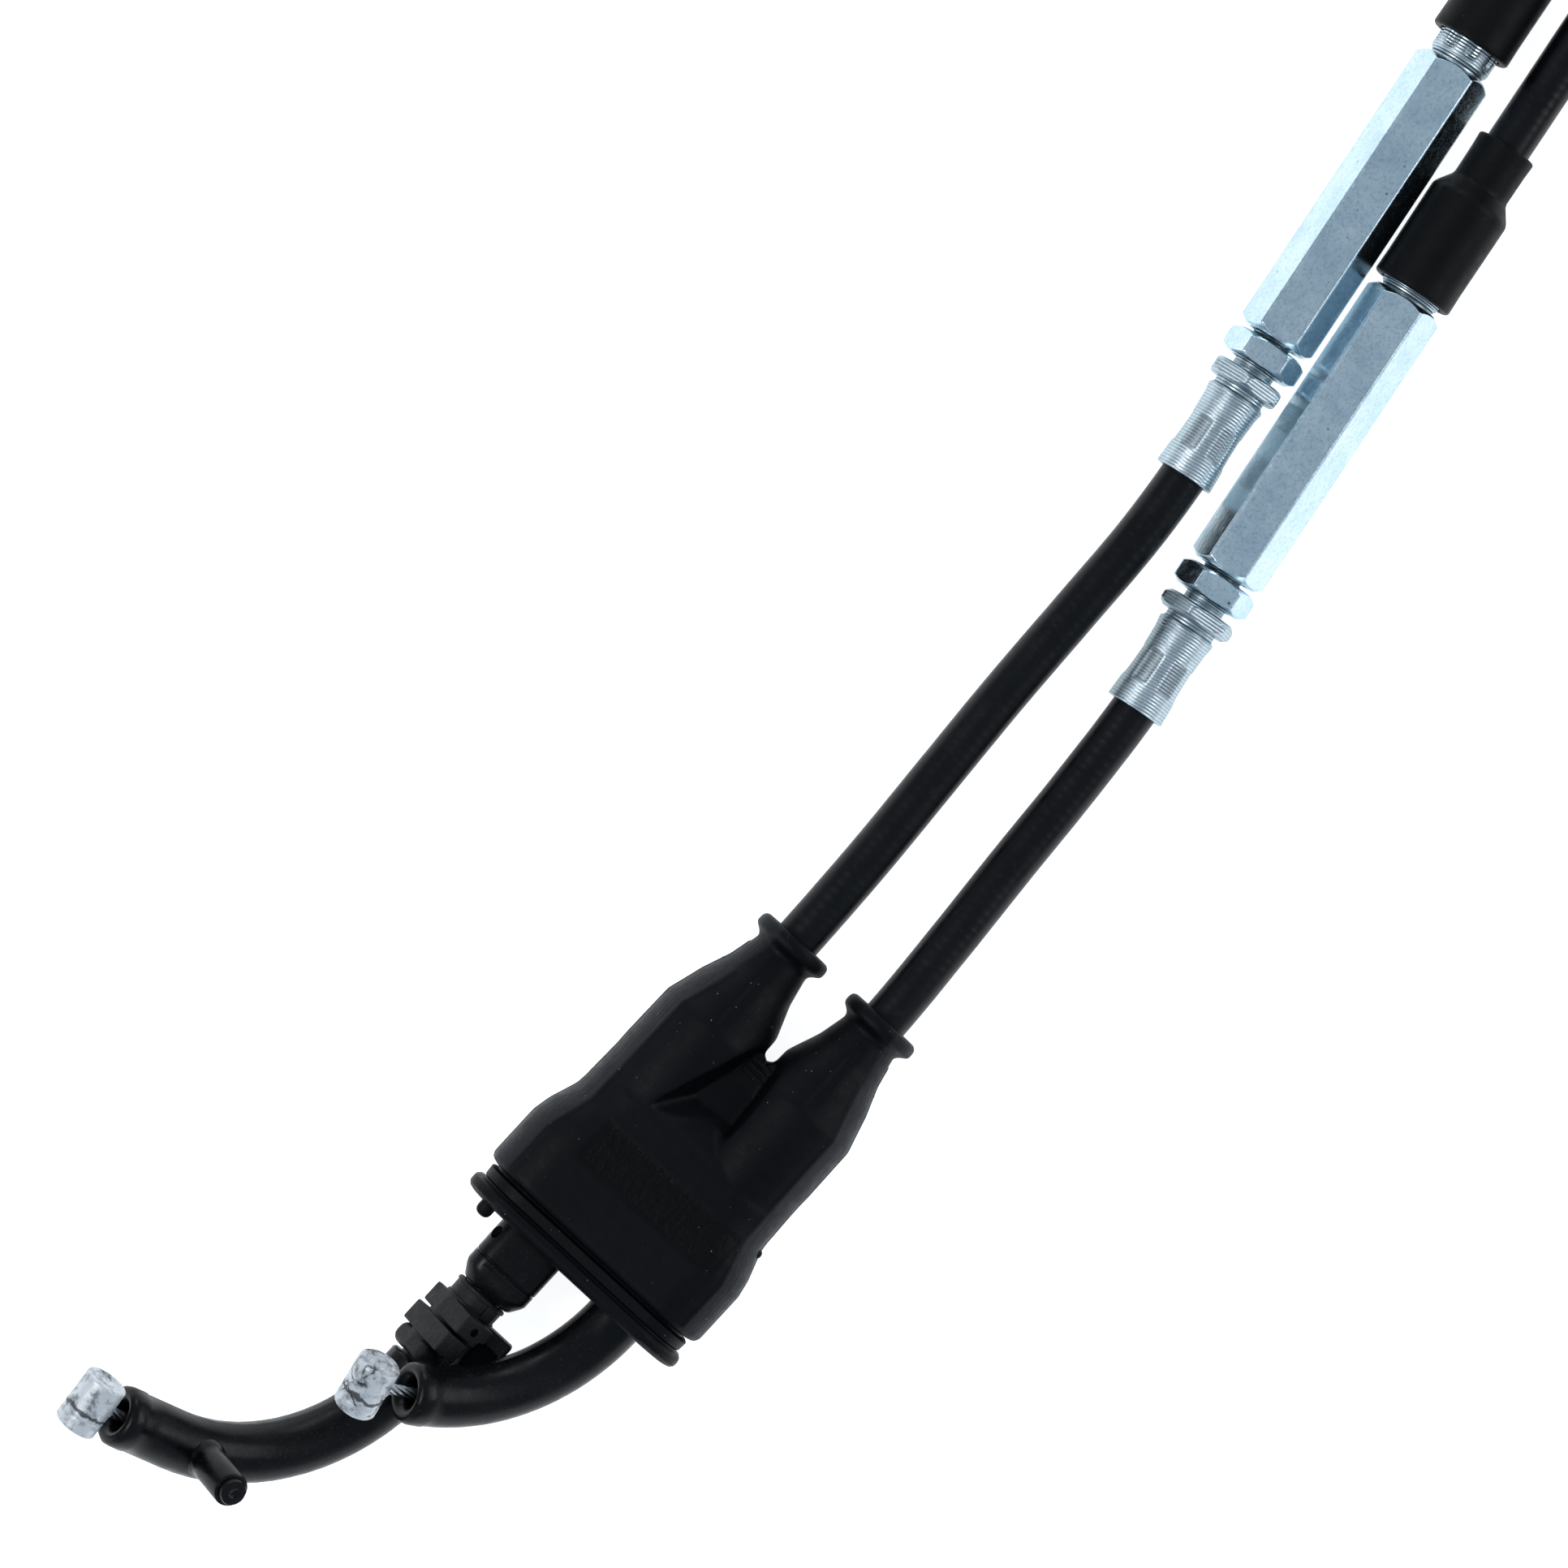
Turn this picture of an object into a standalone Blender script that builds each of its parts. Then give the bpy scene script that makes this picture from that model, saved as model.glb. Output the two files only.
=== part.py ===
"""Twin push-pull throttle cable set: boot, elbows, conduits, inline adjusters and coiled ends.

Dimensions are in millimetres and become metres when a mesh or a place is written.
+X runs along the boot from its lip to its legs, +Z is up, and the set lies on the floor, Z = 0.
Places are measured from the middle of the boot's lip on the floor; the root empty then
moves the whole set so that the world origin is under the middle of the object.
"""

import math

import bmesh
import bpy
from mathutils import Matrix, Vector

MM = 0.001

# ---------------------------------------------------------------- driving dimensions
ORIGIN_X = 82.7                  # world origin, from the middle of the boot's lip
ORIGIN_Y = 9.8

GAP = 0.3                        # air between pieces that touch on the real object
RUNNING = 0.3                    # radial clearance of a piece that turns or slides

# inner wire and conduits
WIRE_R = 0.8
WIRE_BORE_R = 1.2                # hole that the wire runs through in steel pieces
CONDUIT_R = 3.2
JACKET_WALL = 0.85
WINDING_WALL = 0.95
CUP_R = CONDUIT_R + GAP          # bore of every cup that takes a conduit's end

# boot
BOOT_HEIGHT_Z = 9.3              # boot axis above the floor
BOOT_HALF_W = 18.4
BOOT_WAIST_HALF_W = 16.4
BOOT_HALF_H = 8.9
BOOT_WAIST_HALF_H = 8.3
BOOT_WALL = 2.0
BOOT_WAIST_X = 18.5              # where the body has narrowed
BOOT_BODY_END = 27.0
LIP_HALF_W = 18.4
LIP_BEAD = 1.15                  # half the lip bead's length along X
BAND_END = 3.1                   # plain band between the lip's groove and the body
LEG_Y = 7.9                      # legs stand this far to each side
LEG_ROOT_X = 22.0
LEG_ROOT_R = 8.35
LEG_NECK_X = 49.6
LEG_WALL = 0.6
LEG_NECK_R = CUP_R + RUNNING / 3 + LEG_WALL
LEG_BEAD_R = 5.8
LEG_BEAD_LENGTH = 2.2
LEG_END = 52.4

# elbows
ELBOW_R = 4.1
ELBOW_BORE_R = 2.2
ELBOW_MOUTH_R = 3.0
ELBOW_MOUTH_DEPTH = 2.0
BEND_RADIUS = 27.0
BEND_TILT = 36.0                 # degrees that the bends rise out of the floor's plane
PULL_Y = 6.8
PULL_BEND_X = -25.3
PULL_BEND = 78.0
PULL_TAIL = 9.7
RETURN_Y = -8.45
RETURN_BEND_X = -1.2
RETURN_BEND = 66.0
RETURN_TAIL = 1.5
ELBOW_REAR_X = 6.0               # both elbows end inside the boot

PEG_AT = 69.5                    # degrees round the pull bend
PEG_R = 2.4
PEG_LENGTH = 12.3                # from the tube's axis to the shoulder
PEG_TIP_R = 1.83
PEG_TIP = 0.9

# clamp holder and socket on the pull elbow
SPIGOT_R = 2.9
HOLDER_BORE_R = SPIGOT_R + RUNNING
HOLDER_START = -23.2
COLLAR_HALF = 4.4
COLLAR_END = -20.1
BLOCK_ONE_END = -16.9
BLOCK_ONE = (0.4, 4.3, -4.1, 6.3)   # low and high side, low and high normal, in the tilted frame
BLOCK_TWO_START = -16.5
BLOCK_TWO_END = -13.4
BLOCK_TWO = (-1.0, 3.9, -4.0, 6.6)
LUG = (-20.3, -13.4, -1.1, 6.8)     # low and high X, low and high Y
LUG_TOP = 0.0                       # above the boot axis
LUG_BOTTOM = -4.2
POCKET = (-19.7, -15.4, -0.4, 2.9)
POCKET_DEPTH = 3.2
NECK_R = 3.95
NECK_END = -10.7
SOCKET_HALF_W = 5.05
SOCKET_HALF_H = 4.75
SOCKET_CORNER = 2.6

# ferrules inside the boot
BOOT_FERRULE_R = CUP_R + 0.65
BOOT_FERRULE_LENGTH = 13.5
BOOT_FERRULE_FLOOR = 2.0

# inline adjusters
ADJUSTER_ANGLE = 9.1             # degrees from +X towards +Y
ADJUSTER_Z = 5.8                 # adjuster axes above the floor, the dust cap's radius
PULL_ADJUSTER = (132.6, 12.0)    # foot of the lower ferrule
RETURN_ADJUSTER = (105.3, -4.3)
BARREL_R = CUP_R + 0.7
BARREL_WAIST_R = CUP_R + 0.3
BARREL_LENGTH = 12.6
BARREL_CUP = 11.0
FERRULE_HEX = (13.9, 16.3)       # start and end along the adjuster
FERRULE_AF = 10.0                # across flats
SHANK_R = 3.0
SHANK_END = 44.0
NUT = (17.5, 21.1)
NUT_AF = 10.0
SLEEVE = (21.8, 65.6)
SLEEVE_AF = 9.75
SLEEVE_CAVITY_R = CUP_R + 0.7
SLEEVE_CAVITY_START = 50.0
ADJUST_TRAVEL = 6.0
UPPER_STEM_START = 57.0
UPPER_STEM_R = SLEEVE_CAVITY_R - RUNNING
UPPER_NECK = (66.0, 79.5)
UPPER_NECK_R = CUP_R + 0.85
UPPER_CUP_FLOOR = 60.9
CONDUIT_SEAT = UPPER_CUP_FLOOR + ADJUST_TRAVEL + 2 * GAP
CAP_R = UPPER_NECK_R + 1.45
CAP_BORE_R = UPPER_NECK_R + RUNNING
CAP_LENGTH = 14.2
CAP_CONE = 2.2
CAP_NOSE_R = CUP_R + 0.75
CAP_NOSE_LENGTH = 6.8
PULL_CAP_START = 69.1
RETURN_CAP_START = 66.8

# barrel nipples
NIPPLE_R = 3.0
NIPPLE_LENGTH = 7.7
NIPPLE_EDGE = 0.35
PULL_NIPPLE_OUT = 4.1            # nipple centre from the elbow's mouth, along the wire
RETURN_NIPPLE_OUT = 6.0

# coiled upper conduits
COIL_X = 286.0
COIL_Y = -8.0
COIL_MID_R = 35.0
COIL_LIFT = 1.2                  # the ties run under the lower coil
COIL_HALF = 2 * CONDUIT_R        # two turns side by side, two high
COIL_TOP_LIFT = COIL_LIFT + 2 * COIL_HALF + GAP
TIE_WALL = 0.8
TIE_WIDTH = 3.6

# throttle-body ends
END_Z = 5.1
PULL_END = (232.0, -58.5)        # mouth of the end ferrule's cup; the fittings point along -X
RETURN_END = (210.0, -46.2)
END_CUP_LENGTH = 11.0
END_CUP_R = CUP_R + 0.7
END_FLANGE_R = END_CUP_R + 0.7
END_FLANGE_LENGTH = 1.4
END_THREAD_R = 3.0
END_LENGTH = 25.0
END_NUT = 3.0
END_NUT_INNER = 14.4
END_NUT_OUTER = 20.0
END_WIRE = 25.0                  # bare wire between the end ferrule and its nipple

SIDES = 16
FINE = 24

# Free stretches of the two upper conduits, chosen by hand.
PULL_LEAD = (
    (231.3, 27.8, 5.8),
    (240.0, 29.2, 5.5),
    (249.0, 30.1, 5.0),
    (256.5, 30.3, 4.7),
)
RETURN_LEAD = (
    (204.0, 11.5, 5.8),
    (215.0, 13.3, 6.7),
    (226.0, 15.2, 9.3),
    (238.0, 17.7, 13.6),
    (246.0, 19.8, 16.2),
    (252.0, 21.6, 17.4),
)
PULL_TAIL_ROUTE = (
    (272.0, -51.3, 9.4),
    (262.0, -53.9, 7.6),
    (252.0, -56.2, 6.0),
    (243.0, -57.8, 5.2),
    (234.0, -58.4, 5.1),
    (226.0, -58.5, 5.1),
)
RETURN_TAIL_ROUTE = (
    (262.0, -46.2, 21.2),
    (252.0, -46.2, 17.8),
    (241.0, -46.2, 12.6),
    (230.0, -46.2, 7.9),
    (220.0, -46.2, 5.5),
    (212.0, -46.2, 5.1),
    (204.0, -46.2, 5.1),
)

# Lower conduits, from the ferrule in the boot to the lower ferrule of the adjuster.
PULL_LOWER = (
    (9.0, 6.8, 9.3),
    (16.0, 6.8, 9.3),
    (22.0, 6.8, 9.3),
    (29.0, 7.2, 9.3),
    (38.0, 7.8, 9.3),
    (53.0, 7.9, 9.2),
    (67.0, 8.3, 8.6),
    (81.0, 9.1, 7.7),
    (95.0, 9.9, 6.9),
    (109.0, 10.4, 6.2),
    (122.0, 10.9, 5.85),
)
RETURN_LOWER = (
    (9.0, -8.45, 9.3),
    (16.0, -8.45, 9.3),
    (22.0, -8.45, 9.3),
    (29.0, -8.25, 9.3),
    (38.0, -7.95, 9.3),
    (53.0, -7.9, 9.2),
    (66.0, -7.2, 8.3),
    (79.0, -6.3, 7.0),
    (92.0, -5.5, 6.1),
)

FRAME = None


# ---------------------------------------------------------------- materials
def material(name, colour, roughness, metallic=0.0):
    """A Principled material with one colour."""
    m = bpy.data.materials.new(name)
    m.use_nodes = True
    shader = m.node_tree.nodes["Principled BSDF"]
    shader.inputs["Base Color"].default_value = (*colour, 1.0)
    shader.inputs["Roughness"].default_value = roughness
    shader.inputs["Metallic"].default_value = metallic
    m.diffuse_color = (*colour, 1.0)
    return m


def make_materials():
    return {
        "boot_rubber": material("boot_rubber", (0.035, 0.036, 0.040), 0.62),
        "cap_rubber": material("cap_rubber", (0.018, 0.018, 0.020), 0.55),
        "jacket_vinyl": material("jacket_vinyl", (0.014, 0.014, 0.017), 0.32),
        "elbow_nylon": material("elbow_nylon", (0.028, 0.028, 0.031), 0.45),
        "holder_nylon": material("holder_nylon", (0.045, 0.045, 0.048), 0.70),
        "zinc_plate": material("zinc_plate", (0.62, 0.68, 0.74), 0.34, 1.0),
        "cast_zinc": material("cast_zinc", (0.66, 0.67, 0.68), 0.55, 1.0),
        "steel_wire": material("steel_wire", (0.55, 0.56, 0.57), 0.35, 1.0),
        "tie_nylon": material("tie_nylon", (0.03, 0.03, 0.03), 0.45),
    }


# ---------------------------------------------------------------- mesh helpers
def place(obj, at=(0.0, 0.0, 0.0), turn=(0.0, 0.0, 0.0)):
    """Puts an object at a place in millimetres, turned by Euler angles in degrees."""
    obj.parent = FRAME
    obj.location = Vector(at) * MM
    obj.rotation_euler = [math.radians(a) for a in turn]
    return obj


def add(name, mesh, finish):
    """Links a mesh as an object of its own with its own copy of a finish."""
    obj = bpy.data.objects.new(name, mesh)
    bpy.context.scene.collection.objects.link(obj)
    own = finish.copy()
    own.name = name + "_finish"
    mesh.materials.clear()
    mesh.materials.append(own)
    return obj


def finished(bm, name):
    """A smooth-shaded mesh from a bmesh whose faces are made to point out."""
    bmesh.ops.remove_doubles(bm, verts=bm.verts, dist=1e-7)
    bmesh.ops.recalc_face_normals(bm, faces=bm.faces)
    mesh = bpy.data.meshes.new(name)
    bm.to_mesh(mesh)
    bm.free()
    mesh.shade_smooth()
    mesh.set_sharp_from_angle(angle=math.radians(35.0))
    return mesh


def turned(name, profile, sides=SIDES, closed=True):
    """A profile of (along, radius) in millimetres, spun about the local X axis.

    A closed profile goes round a wall and gives a hollow piece; an open one starts and
    ends on the axis and gives a solid one.
    """
    bm = bmesh.new()
    verts = [bm.verts.new((x * MM, 0.0, r * MM)) for x, r in profile]
    pairs = list(zip(verts, verts[1:]))
    if closed:
        pairs.append((verts[-1], verts[0]))
    edges = [bm.edges.new(p) for p in pairs]
    bmesh.ops.spin(
        bm, geom=verts + edges, cent=(0, 0, 0), axis=(1, 0, 0),
        angle=2 * math.pi, steps=sides, use_duplicate=False,
    )
    return finished(bm, name)


def bored_prism(name, start, end, across_flats, bore_r, turn=0.0, chamfer=0.55):
    """A hexagonal prism along X with a round bore and chamfered corners, as a mesh."""
    corner_r = across_flats / 2 / math.cos(math.pi / 6)
    bm = bmesh.new()
    bmesh.ops.create_cone(
        bm, segments=6, radius1=corner_r * MM, radius2=corner_r * MM,
        depth=(end - start) * MM, cap_ends=True,
        matrix=Matrix.Translation(((start + end) / 2 * MM, 0, 0))
        @ Matrix.Rotation(math.radians(turn), 4, "X")
        @ Matrix.Rotation(math.pi / 2, 4, "Y"),
    )
    prism = add(name, finished(bm, name), bpy.data.materials["zinc_plate"])
    face_r = across_flats / 2 - 0.1
    rise = corner_r + 0.4 - face_r
    envelope = turned(
        name + "_envelope",
        (
            (start - 0.01, bore_r), (start - 0.01, face_r),
            (start + chamfer * rise, corner_r + 0.4), (end - chamfer * rise, corner_r + 0.4),
            (end + 0.01, face_r), (end + 0.01, bore_r),
        ),
        FINE,
    )
    cutter = bpy.data.objects.new(name + "_envelope", envelope)
    carve(prism, cutter, "INTERSECT")
    return prism


def carve(obj, cutter, operation):
    """Applies one boolean and drops the cutter."""
    if cutter.name not in bpy.context.scene.collection.objects:
        bpy.context.scene.collection.objects.link(cutter)
    mod = obj.modifiers.new(operation.lower(), "BOOLEAN")
    mod.operation = operation
    mod.object = cutter
    mod.solver = "EXACT"
    bpy.context.view_layer.update()
    done = bpy.data.meshes.new_from_object(obj.evaluated_get(bpy.context.evaluated_depsgraph_get()))
    obj.modifiers.clear()
    done.name = obj.name
    obj.data = done
    bpy.data.objects.remove(cutter)


def loose(name, mesh):
    """An object that only lends its shape to a boolean."""
    return bpy.data.objects.new(name, mesh)


def box_mesh(name, low, high):
    """A box between two corners in millimetres."""
    bm = bmesh.new()
    middle = [(a + b) / 2 * MM for a, b in zip(low, high)]
    size = [(b - a) * MM for a, b in zip(low, high)]
    bmesh.ops.create_cube(bm, size=1.0, matrix=Matrix.Translation(middle) @ Matrix.Diagonal((*size, 1)))
    return finished(bm, name)


def smooth_route(points, step):
    """Places about a step apart on a smooth curve through the route's own points."""
    p = [Vector(q) for q in points]
    p = [2 * p[0] - p[1], *p, 2 * p[-1] - p[-2]]
    fine = []
    for a, b, c, d in zip(p, p[1:], p[2:], p[3:]):
        for k in range(16):
            t = k / 16
            fine.append(
                0.5 * (2 * b + (c - a) * t + (2 * a - 5 * b + 4 * c - d) * t ** 2
                       + (3 * b - a - 3 * c + d) * t ** 3)
            )
    fine.append(p[-2])
    length = sum((b - a).length for a, b in zip(fine, fine[1:]))
    count = max(2, round(length / step))
    spaced, gone, target = [fine[0]], 0.0, length / count
    for a, b in zip(fine, fine[1:]):
        run = (b - a).length
        while gone + run >= target * len(spaced) and len(spaced) < count:
            spaced.append(a.lerp(b, (target * len(spaced) - gone) / run))
        gone += run
    spaced.append(fine[-1])
    return spaced


def rod(name, route, radius, resolution=3):
    """A curve object with a round bevel and filled ends along a route in millimetres."""
    data = bpy.data.curves.new(name, "CURVE")
    data.dimensions = "3D"
    data.bevel_depth = radius * MM
    data.bevel_resolution = resolution
    data.use_fill_caps = True
    spline = data.splines.new("POLY")
    spline.points.add(len(route) - 1)
    for point, at in zip(spline.points, route):
        point.co = (*(Vector(at) * MM), 1.0)
    obj = bpy.data.objects.new(name, data)
    bpy.context.scene.collection.objects.link(obj)
    return obj


def rod_mesh(name, route, radius, resolution=3):
    """The same rod as a mesh, for a piece that is cut afterwards."""
    obj = rod(name + "_rod", route, radius, resolution)
    bpy.context.view_layer.update()
    made = bpy.data.meshes.new_from_object(obj.evaluated_get(bpy.context.evaluated_depsgraph_get()))
    data = obj.data
    bpy.data.objects.remove(obj)
    bpy.data.curves.remove(data)
    bm = bmesh.new()
    bm.from_mesh(made)
    bpy.data.meshes.remove(made)
    return finished(bm, name)


def pipe(name, route, outer, inner, finish, resolution=3):
    """A tube with a wall along a route, as an object."""
    obj = add(name, rod_mesh(name, route, outer, resolution), finish)
    first = Vector(route[0]) - Vector(route[1])
    last = Vector(route[-1]) - Vector(route[-2])
    through = [
        Vector(route[0]) + first.normalized(), *route, Vector(route[-1]) + last.normalized()
    ]
    carve(obj, loose(name + "_bore", rod_mesh(name + "_bore", through, inner, 2)), "DIFFERENCE")
    return place(obj)


# ---------------------------------------------------------------- routes
def tilted(side, normal):
    """The Y and Z of a place beside an elbow's axis, in the plane that its bend lies in."""
    a = math.radians(BEND_TILT)
    return side * math.cos(a) - normal * math.sin(a), side * math.sin(a) + normal * math.cos(a)


def elbow_point(bend_x, y, along):
    """Centre and heading of an elbow after a bend of some degrees."""
    a = math.radians(along)
    dy, dz = tilted(BEND_RADIUS * (1 - math.cos(a)), 0.0)
    hy, hz = tilted(math.sin(a), 0.0)
    at = Vector((bend_x - BEND_RADIUS * math.sin(a), y + dy, BOOT_HEIGHT_Z + dz))
    return at, Vector((-math.cos(a), hy, hz))


def elbow_route(bend_x, y, bend, tail, rear):
    """The centreline of an elbow from its rear end to its mouth."""
    route = [Vector((rear, y, BOOT_HEIGHT_Z))]
    steps = 9
    for k in range(steps + 1):
        route.append(elbow_point(bend_x, y, bend * k / steps)[0])
    at, heading = elbow_point(bend_x, y, bend)
    route.append(at + heading * tail)
    return route


def adjuster_point(foot, along):
    """A place on an adjuster's axis."""
    a = math.radians(ADJUSTER_ANGLE)
    return Vector((foot[0] + along * math.cos(a), foot[1] + along * math.sin(a), ADJUSTER_Z))


# ---------------------------------------------------------------- boot
def rounded_section(half_w, half_h, corner, steps=4):
    """Y and Z of a rounded rectangle, counter-clockwise seen from +X."""
    corner = min(corner, half_w, half_h)
    points = []
    for k, (sy, sz) in enumerate(((1, 1), (-1, 1), (-1, -1), (1, -1))):
        for i in range(steps + 1):
            a = math.pi / 2 * (k + i / steps)
            points.append(
                (sy * (half_w - corner) + corner * math.cos(a),
                 sz * (half_h - corner) + corner * math.sin(a))
            )
    return points


def lofted(name, sections):
    """A closed solid through rounded sections of (x, half width, half height, corner)."""
    bm = bmesh.new()
    rings = [
        [bm.verts.new((x * MM, y * MM, z * MM)) for y, z in rounded_section(w, h, c)]
        for x, w, h, c in sections
    ]
    for a, b in zip(rings, rings[1:]):
        for i in range(len(a)):
            j = (i + 1) % len(a)
            bm.faces.new((a[i], a[j], b[j], b[i]))
    bm.faces.new(rings[0])
    bm.faces.new(rings[-1])
    return finished(bm, name)


def make_boot(finish):
    """Lip with a bead, a band, a stepped body and two legs; hollow from lip to leg ends."""
    groove = BAND_END + 0.4
    body = lofted("boot", (
        (-LIP_BEAD, LIP_HALF_W - 0.8, BOOT_HEIGHT_Z - 0.8, 6.6),
        (-LIP_BEAD + 0.6, LIP_HALF_W, BOOT_HEIGHT_Z, 7.0),
        (LIP_BEAD - 0.4, LIP_HALF_W, BOOT_HEIGHT_Z, 7.0),
        (LIP_BEAD, BOOT_HALF_W - 1.1, BOOT_HALF_H - 0.7, 6.4),
        (BAND_END, BOOT_HALF_W - 1.1, BOOT_HALF_H - 0.7, 6.4),
        (groove, BOOT_HALF_W - 0.3, BOOT_HALF_H - 0.2, 7.0),
        (groove + 1.0, BOOT_HALF_W, BOOT_HALF_H, 7.4),
        (12.0, BOOT_HALF_W, BOOT_HALF_H, 7.8),
        (BOOT_WAIST_X, BOOT_WAIST_HALF_W, BOOT_WAIST_HALF_H, 8.2),
        (BOOT_BODY_END, BOOT_WAIST_HALF_W - 0.1, BOOT_WAIST_HALF_H - 0.1, 8.1),
    ))
    boot = add("boot", body, finish)
    for side in (1, -1):
        leg = turned("leg", (
            (LEG_ROOT_X, 0.0), (LEG_ROOT_X, LEG_ROOT_R - 1.4), (BOOT_BODY_END + 1.0, LEG_ROOT_R),
            (36.0, LEG_ROOT_R - 0.1), (38.5, 7.5), (41.0, 6.8), (45.2, 5.2), (LEG_NECK_X, LEG_NECK_R),
            (LEG_END - LEG_BEAD_LENGTH, LEG_BEAD_R - 0.7), (LEG_END - LEG_BEAD_LENGTH + 0.6, LEG_BEAD_R),
            (LEG_END - 0.5, LEG_BEAD_R), (LEG_END, LEG_BEAD_R - 0.5), (LEG_END, 0.0),
        ), FINE, closed=False)
        leg.transform(Matrix.Translation((0, side * LEG_Y * MM, 0)))
        carve(boot, loose("leg", leg), "UNION")
    wall = BOOT_WALL
    cavity = lofted("cavity", (
        (-LIP_BEAD - 1.0, BOOT_HALF_W - wall - 1.0, BOOT_HALF_H - wall - 0.6, 5.4),
        (4.5, BOOT_HALF_W - wall - 1.0, BOOT_HALF_H - wall - 0.6, 5.4),
        (5.5, BOOT_HALF_W - wall, BOOT_HALF_H - wall, 6.0),
        (12.0, BOOT_HALF_W - wall, BOOT_HALF_H - wall, 6.0),
        (BOOT_WAIST_X, BOOT_WAIST_HALF_W - wall, BOOT_WAIST_HALF_H - wall, 6.2),
        (BOOT_BODY_END - 1.0, BOOT_WAIST_HALF_W - wall - 0.4, BOOT_WAIST_HALF_H - wall - 0.4, 5.9),
    ))
    carve(boot, loose("cavity", cavity), "DIFFERENCE")
    bores = bmesh.new()
    for side in (1, -1):
        bore = turned("leg_bore", (
            (BOOT_BODY_END - 3.0, 0.0), (BOOT_BODY_END - 3.0, BOOT_FERRULE_R + 0.6),
            (34.0, BOOT_FERRULE_R + 0.6), (38.1, CUP_R + RUNNING / 3), (LEG_END + 1.0, CUP_R + RUNNING / 3),
            (LEG_END + 1.0, 0.0),
        ), FINE, closed=False)
        bore.transform(Matrix.Translation((0, side * LEG_Y * MM, 0)))
        bores.from_mesh(bore)
        bpy.data.meshes.remove(bore)
    carve(boot, loose("leg_bores", finished(bores, "leg_bores")), "DIFFERENCE")
    return place(boot, (0, 0, BOOT_HEIGHT_Z))


# ---------------------------------------------------------------- elbows
def make_elbow(name, bend_x, y, bend, tail, rear, finish):
    """A bent guide tube with a bore and a bell mouth; returns it still uncut by extras."""
    route = elbow_route(bend_x, y, bend, tail, rear)
    elbow = add(name, rod_mesh(name, route, ELBOW_R, 3), finish)
    return elbow, route


def bore_elbow(elbow, route):
    """Cuts the wire's way and the bell mouth."""
    heading = (Vector(route[-1]) - Vector(route[-2])).normalized()
    way = [Vector(route[0]) + Vector((1.0, 0, 0)), *route, Vector(route[-1]) + heading]
    carve(elbow, loose("way", rod_mesh("way", way, ELBOW_BORE_R, 2)), "DIFFERENCE")
    mouth = turned("mouth", (
        (-ELBOW_MOUTH_DEPTH, 0.0), (-ELBOW_MOUTH_DEPTH, ELBOW_BORE_R + 0.05),
        (-0.4, ELBOW_MOUTH_R), (0.6, ELBOW_MOUTH_R + 0.3), (0.6, 0.0),
    ), SIDES, closed=False)
    mouth.transform(
        Matrix.Translation(Vector(route[-1]) * MM)
        @ heading.to_track_quat("X", "Z").to_matrix().to_4x4()
    )
    carve(elbow, loose("mouth", mouth), "DIFFERENCE")
    return place(elbow)


def make_pull_elbow(finish):
    """The pull elbow has a locating peg on its bend and a thin spigot behind it."""
    elbow, route = make_elbow(
        "pull_elbow", PULL_BEND_X, PULL_Y, PULL_BEND, PULL_TAIL, HOLDER_START - GAP, finish
    )
    spigot = rod_mesh(
        "spigot",
        [(ELBOW_REAR_X, PULL_Y, BOOT_HEIGHT_Z), (HOLDER_START - 1.0, PULL_Y, BOOT_HEIGHT_Z)],
        SPIGOT_R, 3,
    )
    carve(elbow, loose("spigot", spigot), "UNION")
    foot, _ = elbow_point(PULL_BEND_X, PULL_Y, PEG_AT)
    ny, nz = tilted(0.0, 1.0)
    peg = turned("peg", (
        (0.0, 0.0), (0.0, PEG_R), (PEG_LENGTH - 0.3, PEG_R), (PEG_LENGTH, PEG_R - 0.3),
        (PEG_LENGTH, PEG_TIP_R), (PEG_LENGTH + PEG_TIP, PEG_TIP_R), (PEG_LENGTH + PEG_TIP, 0.0),
    ), SIDES, closed=False)
    start = foot + Vector((0, ny, nz)) * (ELBOW_BORE_R + 0.6)
    peg.transform(
        Matrix.Translation(start * MM)
        @ Vector((0, ny, nz)).to_track_quat("X", "Z").to_matrix().to_4x4()
        @ Matrix.Diagonal(((PEG_LENGTH - ELBOW_BORE_R - 0.6) / PEG_LENGTH, 1, 1, 1))
    )
    carve(elbow, loose("peg", peg), "UNION")
    full = [(ELBOW_REAR_X, PULL_Y, BOOT_HEIGHT_Z), *route[1:]]
    return bore_elbow(elbow, full)


def tilted_box(name, x0, x1, block):
    """A box that is square to the bend's plane, round the pull elbow's axis."""
    low_s, high_s, low_n, high_n = block
    mesh = box_mesh(name, (x0, low_s, low_n), (x1, high_s, high_n))
    mesh.transform(
        Matrix.Translation((0, PULL_Y * MM, BOOT_HEIGHT_Z * MM))
        @ Matrix.Rotation(math.radians(BEND_TILT), 4, "X")
    )
    return mesh


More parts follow.
